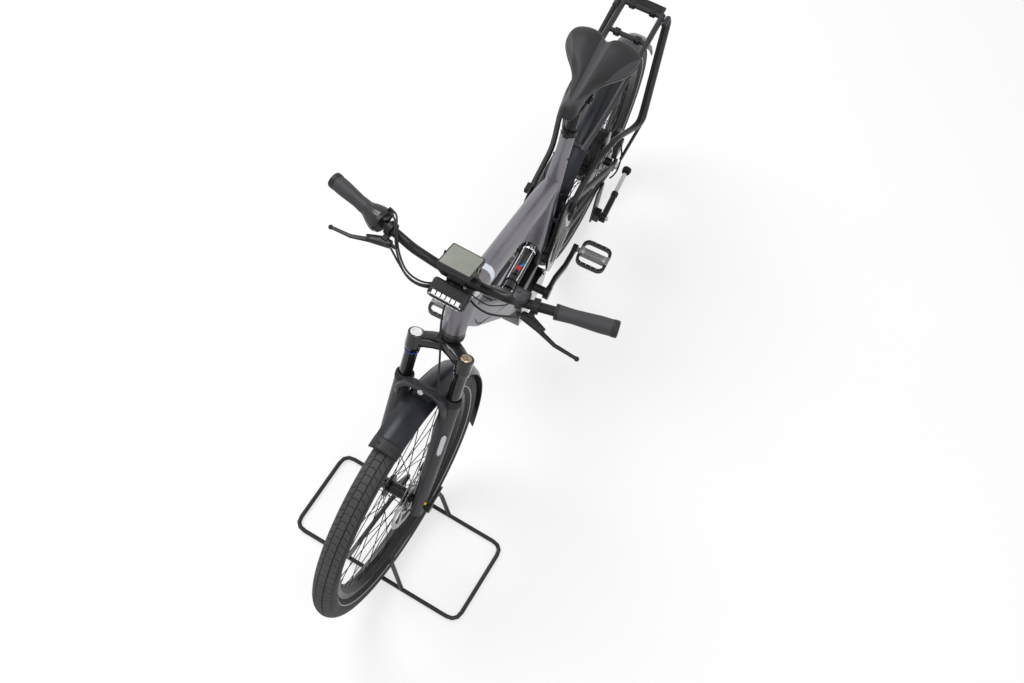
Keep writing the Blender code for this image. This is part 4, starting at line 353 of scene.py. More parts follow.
class Look:
    """A procedural material: base colour with variation, grain bump, worn edges and optional masks."""

    def __init__(self, name, colour, rough, metal=0.0, grain=0.0008, depth=0.00006, vary=0.1, coat=0.0,
            wear=0.0, edge=0.0008, stretch=(1, 1, 1), swing=0.06, gloss=0.25):
        self.name = name
        self.made = bpy.data.materials.new(name)
        self.made.use_nodes = True
        tree = self.made.node_tree
        self.add, self.link = tree.nodes.new, tree.links.new
        self.shader = tree.nodes["Principled BSDF"]
        self.shader.inputs["Metallic"].default_value = metal
        self.shader.inputs["Specular IOR Level"].default_value = gloss
        self.shader.inputs["Coat Weight"].default_value = coat
        self.shader.inputs["Coat Roughness"].default_value = 0.07
        self.place = self.add("ShaderNodeTexCoord").outputs["Object"]
        spread = self.add("ShaderNodeMapping")
        spread.inputs["Scale"].default_value = stretch
        self.link(self.place, spread.inputs["Vector"])
        fine = self.noise(spread.outputs["Vector"], 1 / grain, 3)
        broad = self.noise(self.place, 11, 4)
        both = self.math("ADD", self.math("MULTIPLY", broad, 0.65), self.math("MULTIPLY", fine, 0.35))
        tint = self.scale(both, 0.35, 0.65, 0, 1)
        dark = tuple(c * (1 - vary) for c in colour)
        light = tuple(min(c * (1 + vary), 1) for c in colour)
        self.colour = self.mix(tint, dark, light)
        self.rough = self.scale(broad, 0.3, 0.7, rough - swing, rough + swing)
        soft = self.add("ShaderNodeBevel")
        soft.samples = 4
        soft.inputs["Radius"].default_value = edge
        bump = self.add("ShaderNodeBump")
        bump.inputs["Distance"].default_value = depth
        self.bump = bump
        self.height = fine
        self.link(soft.outputs["Normal"], bump.inputs["Normal"])
        if wear:
            shape = self.add("ShaderNodeNewGeometry")
            dot = self.add("ShaderNodeVectorMath")
            dot.operation = "DOT_PRODUCT"
            self.link(soft.outputs["Normal"], dot.inputs[0])
            self.link(shape.outputs["Normal"], dot.inputs[1])
            rub = self.scale(dot.outputs["Value"], 0.985, 0.9, 0, wear)
            rub = self.math("MULTIPLY", rub, self.scale(fine, 0.4, 0.6, 0.4, 1))
            self.colour = self.mix(rub, self.colour, tuple(min(c * 2.5 + 0.12, 1) for c in colour))

    def noise(self, vector, size, detail):
        """Noise of that scale over the given coordinates."""
        node = self.add("ShaderNodeTexNoise")
        node.inputs["Scale"].default_value = size
        node.inputs["Detail"].default_value = detail
        self.link(vector, node.inputs["Vector"])
        return node.outputs["Fac"]

    def math(self, kind, first, second=0.0):
        """Arithmetic on sockets or numbers."""
        node = self.add("ShaderNodeMath")
        node.operation = kind
        for socket, value in zip(node.inputs, (first, second)):
            if isinstance(value, (int, float)):
                socket.default_value = value
            else:
                self.link(value, socket)
        return node.outputs["Value"]

    def scale(self, value, low, high, to_low, to_high):
        """Maps one range of a value to another."""
        node = self.add("ShaderNodeMapRange")
        self.link(value, node.inputs["Value"])
        for name, number in (("From Min", low), ("From Max", high), ("To Min", to_low), ("To Max", to_high)):
            node.inputs[name].default_value = number
        return node.outputs["Result"]

    def mix(self, factor, first, second):
        """One colour blended into another."""
        node = self.add("ShaderNodeMix")
        node.data_type = "RGBA"
        self.link(factor, node.inputs["Factor"])
        for socket, value in ((node.inputs[6], first), (node.inputs[7], second)):
            if isinstance(value, tuple):
                socket.default_value = (*value, 1)
            else:
                self.link(value, socket)
        return node.outputs[2]

    def along(self, origin, axis):
        """Distance of a surface point from origin along an axis."""
        dot = self.add("ShaderNodeVectorMath")
        dot.operation = "DOT_PRODUCT"
        self.link(self.place, dot.inputs[0])
        dot.inputs[1].default_value = tuple(axis)
        return self.math("SUBTRACT", dot.outputs["Value"], Vector(origin).dot(Vector(axis)))

    def beyond(self, distance, soft=0.0006):
        """1 where the distance is above zero, with a narrow soft edge."""
        return self.scale(distance, -soft / 2, soft / 2, 0, 1)

    def paint(self, mask, colour, rough=None):
        """Another colour and roughness where the mask is 1."""
        self.colour = self.mix(mask, self.colour, colour)
        if rough is not None:
            node = self.add("ShaderNodeMix")
            node.data_type = "FLOAT"
            self.link(mask, node.inputs["Factor"])
            self.link(self.rough, node.inputs[2])
            node.inputs[3].default_value = rough
            self.rough = node.outputs[0]

    def finish(self):
        """Connects the shader and keeps the material by its name."""
        self.link(self.height, self.bump.inputs["Height"])
        self.link(self.colour, self.shader.inputs["Base Color"])
        self.link(self.rough, self.shader.inputs["Roughness"])
        self.link(self.bump.outputs["Normal"], self.shader.inputs["Normal"])
        looks[self.name] = self.made


def plain(*values, **more):
    """A look without masks."""
    Look(*values, **more).finish()


def make_looks():
    """Materials of the CAD nodes and of the pieces of this script."""
    plain("black_gloss", (0.012, 0.012, 0.013), 0.2, metal=0.3, coat=0.5, wear=0.25)
    plain("black_satin", (0.014, 0.014, 0.015), 0.3, metal=0.3, wear=0.35)
    plain("anthracite", (0.048, 0.047, 0.053), 0.38, metal=0.5, grain=0.0006, depth=0.00008, wear=0.3)
    plain("rack_paint", (0.03, 0.03, 0.034), 0.36, metal=0.25, grain=0.0006, depth=0.00008, wear=0.3)
    plain("black_plastic", (0.016, 0.016, 0.018), 0.42, grain=0.0005, depth=0.00007, wear=0.2)
    plain("guard_plastic", (0.02, 0.021, 0.027), 0.3, metal=0.3, grain=0.0007, depth=0.00005, wear=0.3)
    plain("rubber", (0.017, 0.017, 0.018), 0.62, grain=0.0009, depth=0.0001, vary=0.2)
    plain("tread", (0.056, 0.056, 0.058), 0.74, grain=0.0012, depth=0.00015, vary=0.25)
    # Painted shade: the tyre's groove floors are painted near-black, darker than the rubber itself.
    plain("groove", (0.01, 0.01, 0.01), 0.85, grain=0.0009)
    plain("pale_line", (0.42, 0.43, 0.43), 0.4, grain=0.0005)
    plain("steel", (0.55, 0.55, 0.56), 0.24, metal=1.0, grain=0.0005, depth=0.00004)
    plain("chrome", (0.8, 0.8, 0.81), 0.08, metal=1.0, grain=0.004, depth=0.00001, swing=0.02)
    plain("bronze", (0.42, 0.33, 0.24), 0.26, metal=1.0, grain=0.0005)
    plain("alloy", (0.34, 0.34, 0.35), 0.32, metal=0.9, grain=0.0005, wear=0.2)
    plain("spoke_black", (0.03, 0.03, 0.032), 0.26, metal=0.8)
    plain("belt_rubber", (0.018, 0.018, 0.018), 0.6, grain=0.0006, depth=0.0001)
    plain("screen", (0.215, 0.226, 0.196), 0.32, coat=0.25, grain=0.02, depth=0.0, vary=0.08, swing=0.02)
    plain("lens", (0.88, 0.89, 0.91), 0.2, metal=0.3, coat=1.0, grain=0.003, depth=0.0002)
    plain("red_lens", (0.35, 0.008, 0.01), 0.16, coat=0.8, grain=0.002, depth=0.0001)
    plain("red_knob", (0.55, 0.03, 0.05), 0.28, metal=0.5, grain=0.0005)
    plain("blue_part", (0.02, 0.16, 0.36), 0.3, metal=0.4, grain=0.0005)
    plain("blue_ring", (0.03, 0.06, 0.4), 0.45, grain=0.0005)
    plain("reflector", (0.5, 0.51, 0.52), 0.3, metal=0.5, grain=0.0016, depth=0.00012)
    plain("yellow_dot", (0.75, 0.48, 0.03), 0.4, grain=0.0005)
    plain("hose", (0.014, 0.014, 0.015), 0.38, grain=0.0009, depth=0.00005)
    plain("vinyl", (0.022, 0.022, 0.024), 0.5, grain=0.0011, depth=0.00013, vary=0.15)
    plain("vinyl_mid", (0.045, 0.044, 0.048), 0.46, grain=0.0011, depth=0.00013, vary=0.12)
    plain("grip_rubber", (0.038, 0.038, 0.041), 0.5, grain=0.0022, depth=0.00035, vary=0.18)
    plain("disc_steel", (0.3, 0.3, 0.3), 0.3, metal=1.0, grain=0.0004, depth=0.00003, stretch=(1, 8, 1))
    plain("taupe", (0.115, 0.108, 0.1), 0.42, metal=0.1, grain=0.0007, depth=0.00005, wear=0.2)
    plain("stand_paint", (0.024, 0.024, 0.027), 0.36, metal=0.3, grain=0.0009, wear=0.45)

    front = steer(-0.017, 0, HEAD_HIGH - 0.04)
    back = seat(TOP_TUBE_BACK)
    run = (back - front).normalized()
    paint = Look("frame_paint", (0.205, 0.197, 0.219), 0.36, metal=0.8, grain=0.0004, depth=0.00003, vary=0.1)
    start = paint.along(front.lerp(back, 0.15), run)
    end = paint.along(front.lerp(back, 0.188), run)
    band = paint.math("SUBTRACT", paint.beyond(start), paint.beyond(end))
    upward = run.cross(LEFT) if run.cross(LEFT).z > 0 else LEFT.cross(run)
    above = paint.beyond(paint.along(front + UP * 0.004, upward), 0.001)
    paint.paint(paint.math("MULTIPLY", band, above), (0.72, 0.75, 0.86), 0.35)
    low = paint.along(steer(0, 0, HEAD_LOW + 0.022), -STEER_UP)
    near = paint.along(steer(-0.034, 0, 0), STEER_AHEAD)
    paint.paint(paint.math("MULTIPLY", paint.beyond(low), paint.beyond(near)), (0.085, 0.082, 0.09), 0.42)
    # Painted shade: the frame's walls inside its opening round the motor (within 30 mm of the middle, below
    # 0.442 m, between x -0.165 and -0.015) are painted near-black as the shade in that hole.
    inner = paint.math("MULTIPLY", paint.beyond(paint.math("SUBTRACT", 0.03,
        paint.math("ABSOLUTE", paint.along((0, 0, 0), LEFT)))), paint.beyond(paint.along((0, 0, 0.442), -UP)))
    reach = paint.math("MULTIPLY", paint.beyond(paint.along((-0.165, 0, 0), AHEAD)),
        paint.beyond(paint.along((-0.015, 0, 0), -AHEAD)))
    paint.paint(paint.math("MULTIPLY", inner, reach), (0.014, 0.014, 0.015), 0.3)
    paint.finish()

    shock = Look("shock_black", (0.012, 0.012, 0.013), 0.14, metal=0.5, coat=0.6)
    shock.paint(shock.beyond(shock.along(rear(0.43, 0, 0), -AHEAD)), (0.75, 0.75, 0.76), 0.12)
    shock.finish()

    leg = Look("stand_leg", (0.42, 0.43, 0.44), 0.26, metal=0.9, wear=0.1)
    leg.paint(leg.beyond(leg.along(KICKSTAND - AHEAD * 0.1, AHEAD)), (0.022, 0.022, 0.024), 0.4)
    leg.paint(leg.beyond(leg.along(KICKSTAND - AHEAD * 0.18, -AHEAD)), (0.018, 0.018, 0.019), 0.6)
    leg.finish()

    tail = seat(0.638).x - 0.27 * 0.6
    vinyl = Look("saddle_vinyl", (0.018, 0.018, 0.02), 0.45, grain=0.0011, depth=0.00013, vary=0.15)
    far = vinyl.along((tail, 0, 0), AHEAD / 0.27)
    wide = vinyl.math("ABSOLUTE", vinyl.along((0, 0, 0), LEFT / 0.095))
    bend = vinyl.math("POWER", vinyl.math("MAXIMUM", far, 0.0), 0.75)
    side = vinyl.beyond(vinyl.math("SUBTRACT", wide,
        vinyl.math("SUBTRACT", 1.23, vinyl.math("MULTIPLY", bend, 1.28))), 0.02)
    side = vinyl.math("MULTIPLY", side, vinyl.beyond(vinyl.math("SUBTRACT", 0.9, far), 0.06))
    vinyl.paint(side, (0.05, 0.049, 0.055), 0.42)
    # Painted highlight: a lighter grey band along the saddle's sunk middle channel, narrowing towards the
    # nose.
    channel_highlight_width = vinyl.math("SUBTRACT", 0.15, vinyl.math("MULTIPLY", far, 0.1))
    middle = vinyl.math("MULTIPLY", vinyl.beyond(vinyl.math("SUBTRACT", channel_highlight_width, wide), 0.03),
        vinyl.beyond(vinyl.math("SUBTRACT", 0.9, far), 0.08))
    vinyl.paint(middle, (0.055, 0.054, 0.06), 0.42)
    vinyl.finish()

    plain("shifter_gloss", (0.014, 0.014, 0.015), 0.3, metal=0.2, coat=0.4, grain=0.0012, depth=0.00003)
    for side, name in ((1, "left"), (-1, "right")):
        pedal = Look(f"pedal_{name}_paint", (0.022, 0.022, 0.024), 0.38, metal=0.3, grain=0.0006, wear=0.4)
        offset = pedal.math("ABSOLUTE", pedal.along(CRANK - AHEAD * side * 0.17, AHEAD))
        pedal.paint(pedal.beyond(pedal.math("SUBTRACT", 0.0125, offset), 0.0005), (0.22, 0.22, 0.225), 0.36)
        pedal.finish()
    plain("fork_gloss", (0.012, 0.012, 0.013), 0.16, metal=0.4, coat=0.6, wear=0.2)


def dress():
    """Gives every CAD node its finished material, shaded smooth."""
    by_look = {
        "frame_paint": "frame",
        "shock_black": "shock",
        "fork_gloss": "fork_upper motor",
        "anthracite": "swingarm fork_lowers",
        "rack_paint": "rack_deck rack_loop_left rack_loop_right",
        "black_satin": "saddle_rails seatpost seat_clamp handlebar brake_lever_left brake_lever_right stem "
                       "crankset front_sprocket rear_sprocket front_caliper rear_caliper front_axle "
                       "kickstand_bracket front_rim rear_rim",
        "spoke_black": "front_hub rear_hub",
        "black_plastic": "display headlight remote mudguard_bridge",
        "shifter_gloss": "twist_shifter",
        "pedal_left_paint": "pedal_left",
        "pedal_right_paint": "pedal_right",
        "guard_plastic": "front_mudguard rear_mudguard",
        "steel": "headset_ring rear_axle",
        "disc_steel": "front_rotor rear_rotor",
        "grip_rubber": "grip_left grip_right",
        "belt_rubber": "belt",
        "taupe": "battery_cover",
        "stand_leg": "kickstand_leg",
        "red_lens": "rear_light",
        "stand_paint": "wheel_stand",
        "rubber": "front_tyre rear_tyre",
        "vinyl": "saddle",
    }
    for look, members in by_look.items():
        for name in members.split():
            mesh = nodes[name].data
            mesh.materials.clear()
            mesh.materials.append(looks[look])
            if "custom_normal" in mesh.attributes:
                mesh.attributes.remove(mesh.attributes["custom_normal"])
            mesh.shade_smooth()
            modifiers = nodes[name].modifiers
            modifiers.new("weld", "WELD").merge_threshold = WELD
            modifiers.new("corners", "EDGE_SPLIT").split_angle = math.radians(36)
            modifiers.new("flat_faces", "WEIGHTED_NORMAL").weight = 100
    left_over = set(nodes) - set(" ".join(by_look.values()).split())
    if left_over:
        raise ValueError(f"nodes with no material: {sorted(left_over)}")


def tyre(name, axle, body, turn):
    """Road tyre with a slanted block tread, two long grooves and a pale line on each side."""
    middle = TYRE_RADIUS - TYRE_HALF
    bead = TYRE_RADIUS - 0.056 + 0.0003
    reach = math.degrees(math.acos((bead - middle) / TYRE_HALF))
    half = [0, 5, 11, 17.0, 18.6, 22.0, 23.4, 30, 38, 46, 54, 56, 66, 76, 88, 100, 110, 117, 121, 130, 144,
        reach]
    angles = [-a for a in half[:0:-1]] + half
    shares = (0, 0.05, 0.1, 0.15, 0.5, 0.55, 0.6, 0.65)
    pitches = 112
    shape = Shape()
    verts = shape.mesh.verts
    rows = []
    for i in range(pitches):
        for k, share in enumerate(shares):
            row = []
            for angle in angles:
                far = abs(angle)
                depth = 0.0
                if 18.2 < far < 22.5:
                    depth = 0.0021
                elif far < 18 and k in (1, 2):
                    depth = 0.0015
                elif 23 < far < 54.5 and k in (5, 6):
                    depth = 0.0017 if far > 24 else 0.0008
                sweep = 0.9 * (1 - min(far / 58, 1) ** 1.7)
                turn_by = 2 * math.pi * (i + share + sweep) / pitches
                size = TYRE_HALF - depth
                radius = middle + size * math.cos(math.radians(angle))
                row.append(verts.new(axle + Vector((radius * math.cos(turn_by),
                    size * math.sin(math.radians(angle)), radius * math.sin(turn_by)))))
            rows.append(row)
    for i, first in enumerate(rows):
        second = rows[(i + 1) % len(rows)]
        k = i % len(shares)
        for j in range(len(angles) - 1):
            far = (abs(angles[j]) + abs(angles[j + 1])) / 2
            face = shape.mesh.faces.new((first[j], first[j + 1], second[j + 1], second[j]))
            # Groove floors take the groove colour, painted near-black as shade; the pale line keeps its own
            # colour.
            if 18.2 < far < 22.5 or (far < 18 and k == 1) or (23 < far < 54.5 and k == 5):
                face.material_index = 2
            elif 117 < far < 121:
                face.material_index = 3
            else:
                face.material_index = 1 if far < 60 else 0
    shape.done(name, body, "rubber", "tread", "groove", "pale_line", turn=turn,
        replaces=(body.replace("wheel", "tyre"),), angle=50)


def saddle():
    """Padded comfort saddle: a crowned shell with a sunk channel, rolled edges and a notched tail."""
    top = seat(0.638)
    length, half_wide = 0.27, 0.095
    nose = top.x + length * 0.4
    tail = nose - length
    base = top.z + 0.0245
    outline = [(0.985, 0.0), (0.985, 0.1), (0.97, 0.185), (0.925, 0.225), (0.84, 0.235), (0.72, 0.255),
        (0.61, 0.31), (0.52, 0.42), (0.44, 0.58), (0.36, 0.77), (0.28, 0.91), (0.19, 0.99), (0.1, 0.97),
        (0.04, 0.86), (0.006, 0.66), (0.004, 0.45), (0.028, 0.24), (0.062, 0.08), (0.07, 0.0)]
    side = smooth_line([(x, y, 0) for x, y in outline], 4)
    around = [(p.x, p.y) for p in side] + [(p.x, -p.y) for p in reversed(side[1:-1])]
    rings = (0.0, 0.1, 0.2, 0.32, 0.45, 0.58, 0.7, 0.8, 0.88, 0.94, 0.98, 1.0)
    loops = []

    def inward(x, share):
        """Moves a point of the outline towards the saddle's middle line."""
        spine = min(max(0.5 + (x - 0.5) * 0.82, 0.16), 0.93)
        return spine + (x - spine) * share

    for share in rings:
        loop = []
        for x, y in around:
            at_x = inward(x, share)
            at_y = y * share
            swell = 1 - max(share - 0.35, 0) ** 2.4 * 1.15
            crown = 0.046 * (0.8 + 0.2 * (1 - at_x) ** 1.5) * swell
            lobe = 0.007 * math.exp(-((at_x - 0.16) / 0.13) ** 2) * min(abs(at_y) / 0.45, 1)
            crown += lobe * (1 - share ** 3)
            sunk = 0.0085 if at_x < 0.72 else 0.0085 * max(0, (0.95 - at_x) / 0.23)
            channel = math.exp(-(at_y / 0.13) ** 2) * sunk
            dip = 0.01 * at_x ** 3 * share
            loop.append(Vector((tail + length * at_x, half_wide * at_y,
                base + crown - channel * (1 - 0.4 * share) - dip)))
        loops.append(loop)
    rim = loops[-1]
    for drop, pull in ((0.008, 1.004), (0.016, 0.985), (0.024, 0.93), (0.027, 0.86), (0.024, 0.7)):
        loop = []
        for (x, y), point in zip(around, rim):
            low = max(point.z - drop * (1.0 + 0.5 * abs(y) * (1 - x)), base)
            loop.append(Vector((tail + length * inward(x, pull), half_wide * y * pull, low)))
        loops.append(loop)
    shape = Shape()
    rows = shape.skin(loops, caps=False)
    shape.mesh.faces.new(rows[-1])
    shape.mesh.faces.new(rows[0][::-1])
    obj = shape.done("saddle_cover", "frame", "saddle_vinyl", replaces=("saddle",), angle=180)
    finer = obj.modifiers.new("finer", "SUBSURF")
    finer.levels = finer.render_levels = 1
    welt = Shape()
    welt.sweep(loops[len(rings)], 0.0009, 6, closed=True)
    welt.done("saddle_seam", "frame", "vinyl")


def cord(name, points, diameter, body="fork", turn=True):
    """A hose or cable that leaves the object and goes back into it."""
    line = smooth_line(points, 5)
    if turn:
        line = [TURN @ p for p in line]
    curve = bpy.data.curves.new(name, "CURVE")
    curve.dimensions = "3D"
    curve.bevel_depth = diameter / 2
    curve.bevel_resolution = 3
    spline = curve.splines.new("POLY")
    spline.points.add(len(line) - 1)
    for point, place in zip(spline.points, line):
        point.co = (*place, 1)
    curve.materials.append(looks["hose"])
    obj = bpy.data.objects.new(name, curve)
    scene.collection.objects.link(obj)
    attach(obj, body)


def hoses():
    """Brake hoses, shifter cables and the remote's wire, as they hang at the bar and the fork."""
    right_way = flip(GRIP_WAY)
    under = bar(0.01, 0, -0.03)
    body = flip(CLAMP) - right_way * 0.022 + Vector((0.03, 0, -0.012))
    cord("hose_rear_brake", [body, bar(0.042, -0.128, -0.001), bar(0.056, -0.092, -0.015),
        bar(0.048, -0.055, -0.026), under + Vector((0.006, -0.022, 0))], 0.005)
    shifter = flip(BAR_END) - right_way * 0.158 + Vector((-0.024, 0, 0.016))
    for k, name in enumerate(("shift_cable_one", "shift_cable_two")):
        gap = 0.007 * k
        cord(name, [shifter + Vector((0.004 - gap, 0, gap * 0.4)), bar(-0.024 - gap, -0.18, 0.043 + gap),
            bar(0.006 - gap, -0.16, 0.04 + gap), bar(0.036 - gap, -0.136, 0.022),
            bar(0.056 - gap, -0.102, -0.003), bar(0.05 - gap, -0.062, -0.02),
            under + Vector((0, -0.02 - gap, 0))], 0.0045)
    body = CLAMP - GRIP_WAY * 0.022 + Vector((0.03, 0, -0.012))
    cord("hose_front_brake_bar", [body, bar(0.037, 0.125, 0.0), bar(0.04, 0.09, -0.015),
        bar(0.03, 0.052, -0.026), under + Vector((0, 0.02, 0))], 0.005)
    pad = BAR_END - GRIP_WAY * 0.232 + Vector((0.016, 0, 0.006))
    cord("remote_wire", [pad, pad - GRIP_WAY * 0.012 + Vector((0.006, 0, -0.006)), bar(0.03, 0.085, 0.0),
        bar(0.022, 0.045, -0.01), under + Vector((0.004, 0.018, 0.012))], 0.003)
    caliper = FRONT_AXLE + Vector((-0.066, 0.05, 0.04))
    cord("hose_front_brake", [steer(0.024, -0.014, HEAD_HIGH + 0.028),
        steer(0.041, -0.016, HEAD_HIGH + 0.014), steer(0.052, -0.019, HEAD_HIGH - 0.024),
        steer(0.053, -0.014, HEAD_LOW + 0.055), steer(0.062, 0.006, HEAD_LOW - 0.012),
        steer(0.082, 0.026, 0.44), steer(0.092, 0.04, 0.405), steer(0.09, 0.048, 0.372),
        steer(0.068, 0.048, 0.33), steer(0.05, 0.041, 0.27), steer(0.03, 0.04, 0.19),
        steer(0.0, 0.042, 0.125), caliper], 0.005)
    stay = rear(0.06, 0.088, 0.014)
    cord("hose_rear_caliper", [stay, stay + Vector((-0.012, 0.006, 0.004)), rear(0.03, 0.098, 0.03),
        rear(0.0, 0.092, 0.055), rear(-0.028, 0.074, 0.074), rear(-0.05, 0.056, 0.08)], 0.005, "frame", False)


def brake_disc(name, axle, y, body, turn, node):
    """Perforated steel disc with a wavy rim, curved arms, a black carrier and its six screws."""
    outline = []
    for angle in circle(180):
        size = 0.09 - 0.0022 * (0.5 + 0.5 * math.cos(angle * 12)) ** 3
        outline.append((size * math.cos(angle), size * math.sin(angle)))
    holes = []
    low, high, lean, wide = 0.0475, 0.0745, 0.16, 0.4
    for i in range(6):
        middle = math.pi / 3 * i
        outer = [(high, middle + lean + wide * (k / 5 - 1)) for k in range(11)]
        inner = [(low, middle - lean + wide * 0.9 * (1 - k / 5)) for k in range(11)]
        holes.append([(size * math.cos(a), size * math.sin(a)) for size, a in outer + inner])
    for angle in circle(36):
        reach = 0.0795 + 0.0035 * math.cos(angle * 12)
        holes.append([(reach * math.cos(angle) + 0.0021 * math.cos(a),
            reach * math.sin(angle) + 0.0021 * math.sin(a)) for a in circle(8)])
    holes.append([(0.0385 * math.cos(a), 0.0385 * math.sin(a)) for a in circle(40)])
    centre = axle + LEFT * y
    place = basis(centre, AHEAD, LEFT)
    obj = flat_piece(name, outline, holes, 0.0018, place, "disc_steel", body, turn)
    carrier = Shape()
    for i in range(6):
        middle = math.pi / 3 * i + 0.05
        way = ray(middle)
        across = ray(middle + math.pi / 2)
        carrier.slab([(-0.0055, -0.011), (0.0055, -0.011), (0.004, 0.011), (-0.004, 0.011)], 0.0026,
            basis(centre + way * 0.0325, across, LEFT), 0.0005, 1)
        carrier.lathe([(0.0034, -0.0017), (0.0034, 0.0017), (0.0016, 0.0019), (0.0014, 0.0008), (0, 0.0008)],
            centre + way * 0.0405, LEFT, 12)
    carrier.lathe([(0.0195, -0.0013), (0.0275, -0.0013), (0.0275, 0.0013), (0.0195, 0.0013),
        (0.0195, -0.0013)], centre, LEFT, 36)
    carrier.done(name + "_carrier", body, "black_satin", turn=turn)
    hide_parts(node)


def flat_piece(name, outline, holes, thickness, place, surface, body, turn):
    """A flat part with real openings."""
    bevel = 0.0002
    curve = bpy.data.curves.new(name, "CURVE")
    curve.dimensions = "2D"
    curve.fill_mode = "BOTH"
    curve.extrude = thickness / 2 - bevel
    curve.bevel_depth = bevel
    curve.bevel_resolution = 0
    for ring in [outline, *holes]:
        spline = curve.splines.new("POLY")
        spline.points.add(len(ring) - 1)
        for point, (x, y) in zip(spline.points, ring):
            point.co = (x, y, 0, 1)
        spline.use_cyclic_u = True
    flat = bpy.data.objects.new(name, curve)
    scene.collection.objects.link(flat)
    bpy.context.view_layer.update()
    made = bpy.data.meshes.new_from_object(flat.evaluated_get(bpy.context.evaluated_depsgraph_get()))
    bpy.data.objects.remove(flat)
    bpy.data.curves.remove(curve)
    made.transform(place)
    if turn:
        made.transform(TURN)
    made.materials.clear()
    made.materials.append(looks[surface])
    made.shade_smooth()
    made.set_sharp_from_angle(angle=math.radians(CREASE))
    made.name = name
    obj = bpy.data.objects.new(name, made)
    scene.collection.objects.link(obj)
    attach(obj, body)
    return obj


def fork_details():
    """Caps, seals, ring, strap screws, reflective strip and small marks of the fork."""
    cap_at = HEAD_LOW + 0.002
    turned("leg_cap_right", "fork", "chrome", [(0.015, 0), (0.015, 0.002), (0.0125, 0.0032), (0.009, 0.0034),
        (0.0085, 0.0024), (0, 0.0024)], steer(LEG_AHEAD, -LEG_Y, cap_at), STEER_UP, 28, turn=True)
    dial = Shape()
    dial.lathe([(0.0135, 0), (0.0135, 0.002), (0.0115, 0.0042), (0, 0.0042)], steer(LEG_AHEAD, LEG_Y, cap_at),
        STEER_UP, 28)
    for k in range(2):
        dial.slab(rounded(0.011, 0.0022, 0.002, 3), 0.0035, basis(steer(LEG_AHEAD, LEG_Y, cap_at + 0.0055),
            STEER_AHEAD * (1 - k) + LEFT * k, STEER_UP), 0.0006, 1)
    dial.done("leg_dial_left", "fork", "bronze", turn=True)
    for side, name in ((1, "left"), (-1, "right")):
        turned(f"wiper_{name}", "fork", "rubber", [(0.0163, 0.0005), (0.0172, 0.0068), (0.0196, 0.0074),
            (0.0228, 0.003), (0.023, -0.01), (0.0217, -0.011)], steer(LEG_AHEAD, side * LEG_Y, 0.372),
            STEER_UP, 32, turn=True)
        turned(f"crown_collar_{name}", "fork", "fork_gloss", [(0.0165, 0), (0.0186, 0.001), (0.019, 0.008),
            (0.02, 0.012)], steer(LEG_AHEAD, side * LEG_Y, HEAD_LOW - 0.046), STEER_UP, 32, turn=True)
    turned("travel_ring", "fork", "blue_ring", [(0.0162, -0.0012), (0.0178, -0.0008), (0.0178, 0.0008),
        (0.0162, 0.0012)], steer(LEG_AHEAD, -LEG_Y, HEAD_LOW - 0.05), STEER_UP, 32, turn=True)
    strip = Shape()
    mid_turn = 38
    for index, (low, high, half_turn) in enumerate(((0.203, 0.275, 17), (0.2, 0.278, 20))):
        strip.slot = index
        rows = []
        for i in range(15):
            share = i / 14
            height = low + (high - low) * share
            round_off = math.sqrt(max(1 - (abs(share - 0.5) * 2) ** 6, 0.02))
            row = []
            for k in range(9):
                angle = math.radians(mid_turn + half_turn * (k / 4 - 1) * round_off)
                size = 0.0225 - 0.0006 * index - (0.265 - height) * 0.018
                row.append(steer(LEG_AHEAD, LEG_Y, height) + (STEER_AHEAD * math.cos(angle) + LEFT
                    * math.sin(angle)) * size)
            rows.append(row)
        strip.skin(rows, ring=False, caps=False)
    thicken(strip.done("leg_reflector", "fork", "reflector", "black_plastic", turn=True), 0.0009)
    screws = Shape()
    arch = steer(0.0982, 0, 0.389)
    slope = STEER_AHEAD * 0.6 + STEER_UP * 0.8
    screws.bolt(arch, slope, 0.0048, 0.0026)
    screws.lathe([(0.0072, -0.004), (0.0072, 0.0), (0.005, 0.0004)], arch, slope, 24)
    screws.done("arch_screw", "fork", "alloy", turn=True)
    ribs = Shape()
    for side in (1, -1):
        ribs.sweep([steer(0.078, side * 0.024, 0.3965), steer(0.083, side * 0.012, 0.3975),
            steer(0.083, side * 0.002, 0.3975)], 0.0012, 8)
    ribs.done("arch_ribs", "fork", "anthracite", turn=True)
    turned("axle_mark", "fork", "yellow_dot", [(0.0035, -0.004), (0.0035, 0.0006), (0.0028, 0.0009),
        (0, 0.0009)], FRONT_AXLE + Vector((0.004, 0.083, 0.028)), LEFT, 18, turn=True)
    bolts = Shape()
    for side in (1, -1):
        bolts.bolt(steer(LEG_AHEAD, side * LEG_Y * 0.98, -0.0245), -STEER_UP, 0.0062, 0.003)
    way = ray(math.radians(150))
    cross = Vector((-way.z, 0, way.x))
    for k in (-1, 1):
        bolts.bolt(FRONT_AXLE + way * 0.086 + cross * 0.017 * k + LEFT * 0.0487, LEFT, 0.0034, 0.0018)
        bolts.bolt(FRONT_AXLE + way * 0.094 + cross * 0.01 * k + LEFT * 0.0375, way, 0.003, 0.0076)
    bolts.done("fork_bolts", "fork", "black_satin", turn=True)
    turned("lower_cup", "frame", "black_satin", [(0.0285, 0.0003), (0.0302, 0.001), (0.0302, 0.0105),
        (0.0291, 0.0125)], steer(0, 0, HEAD_LOW), STEER_UP, 40)


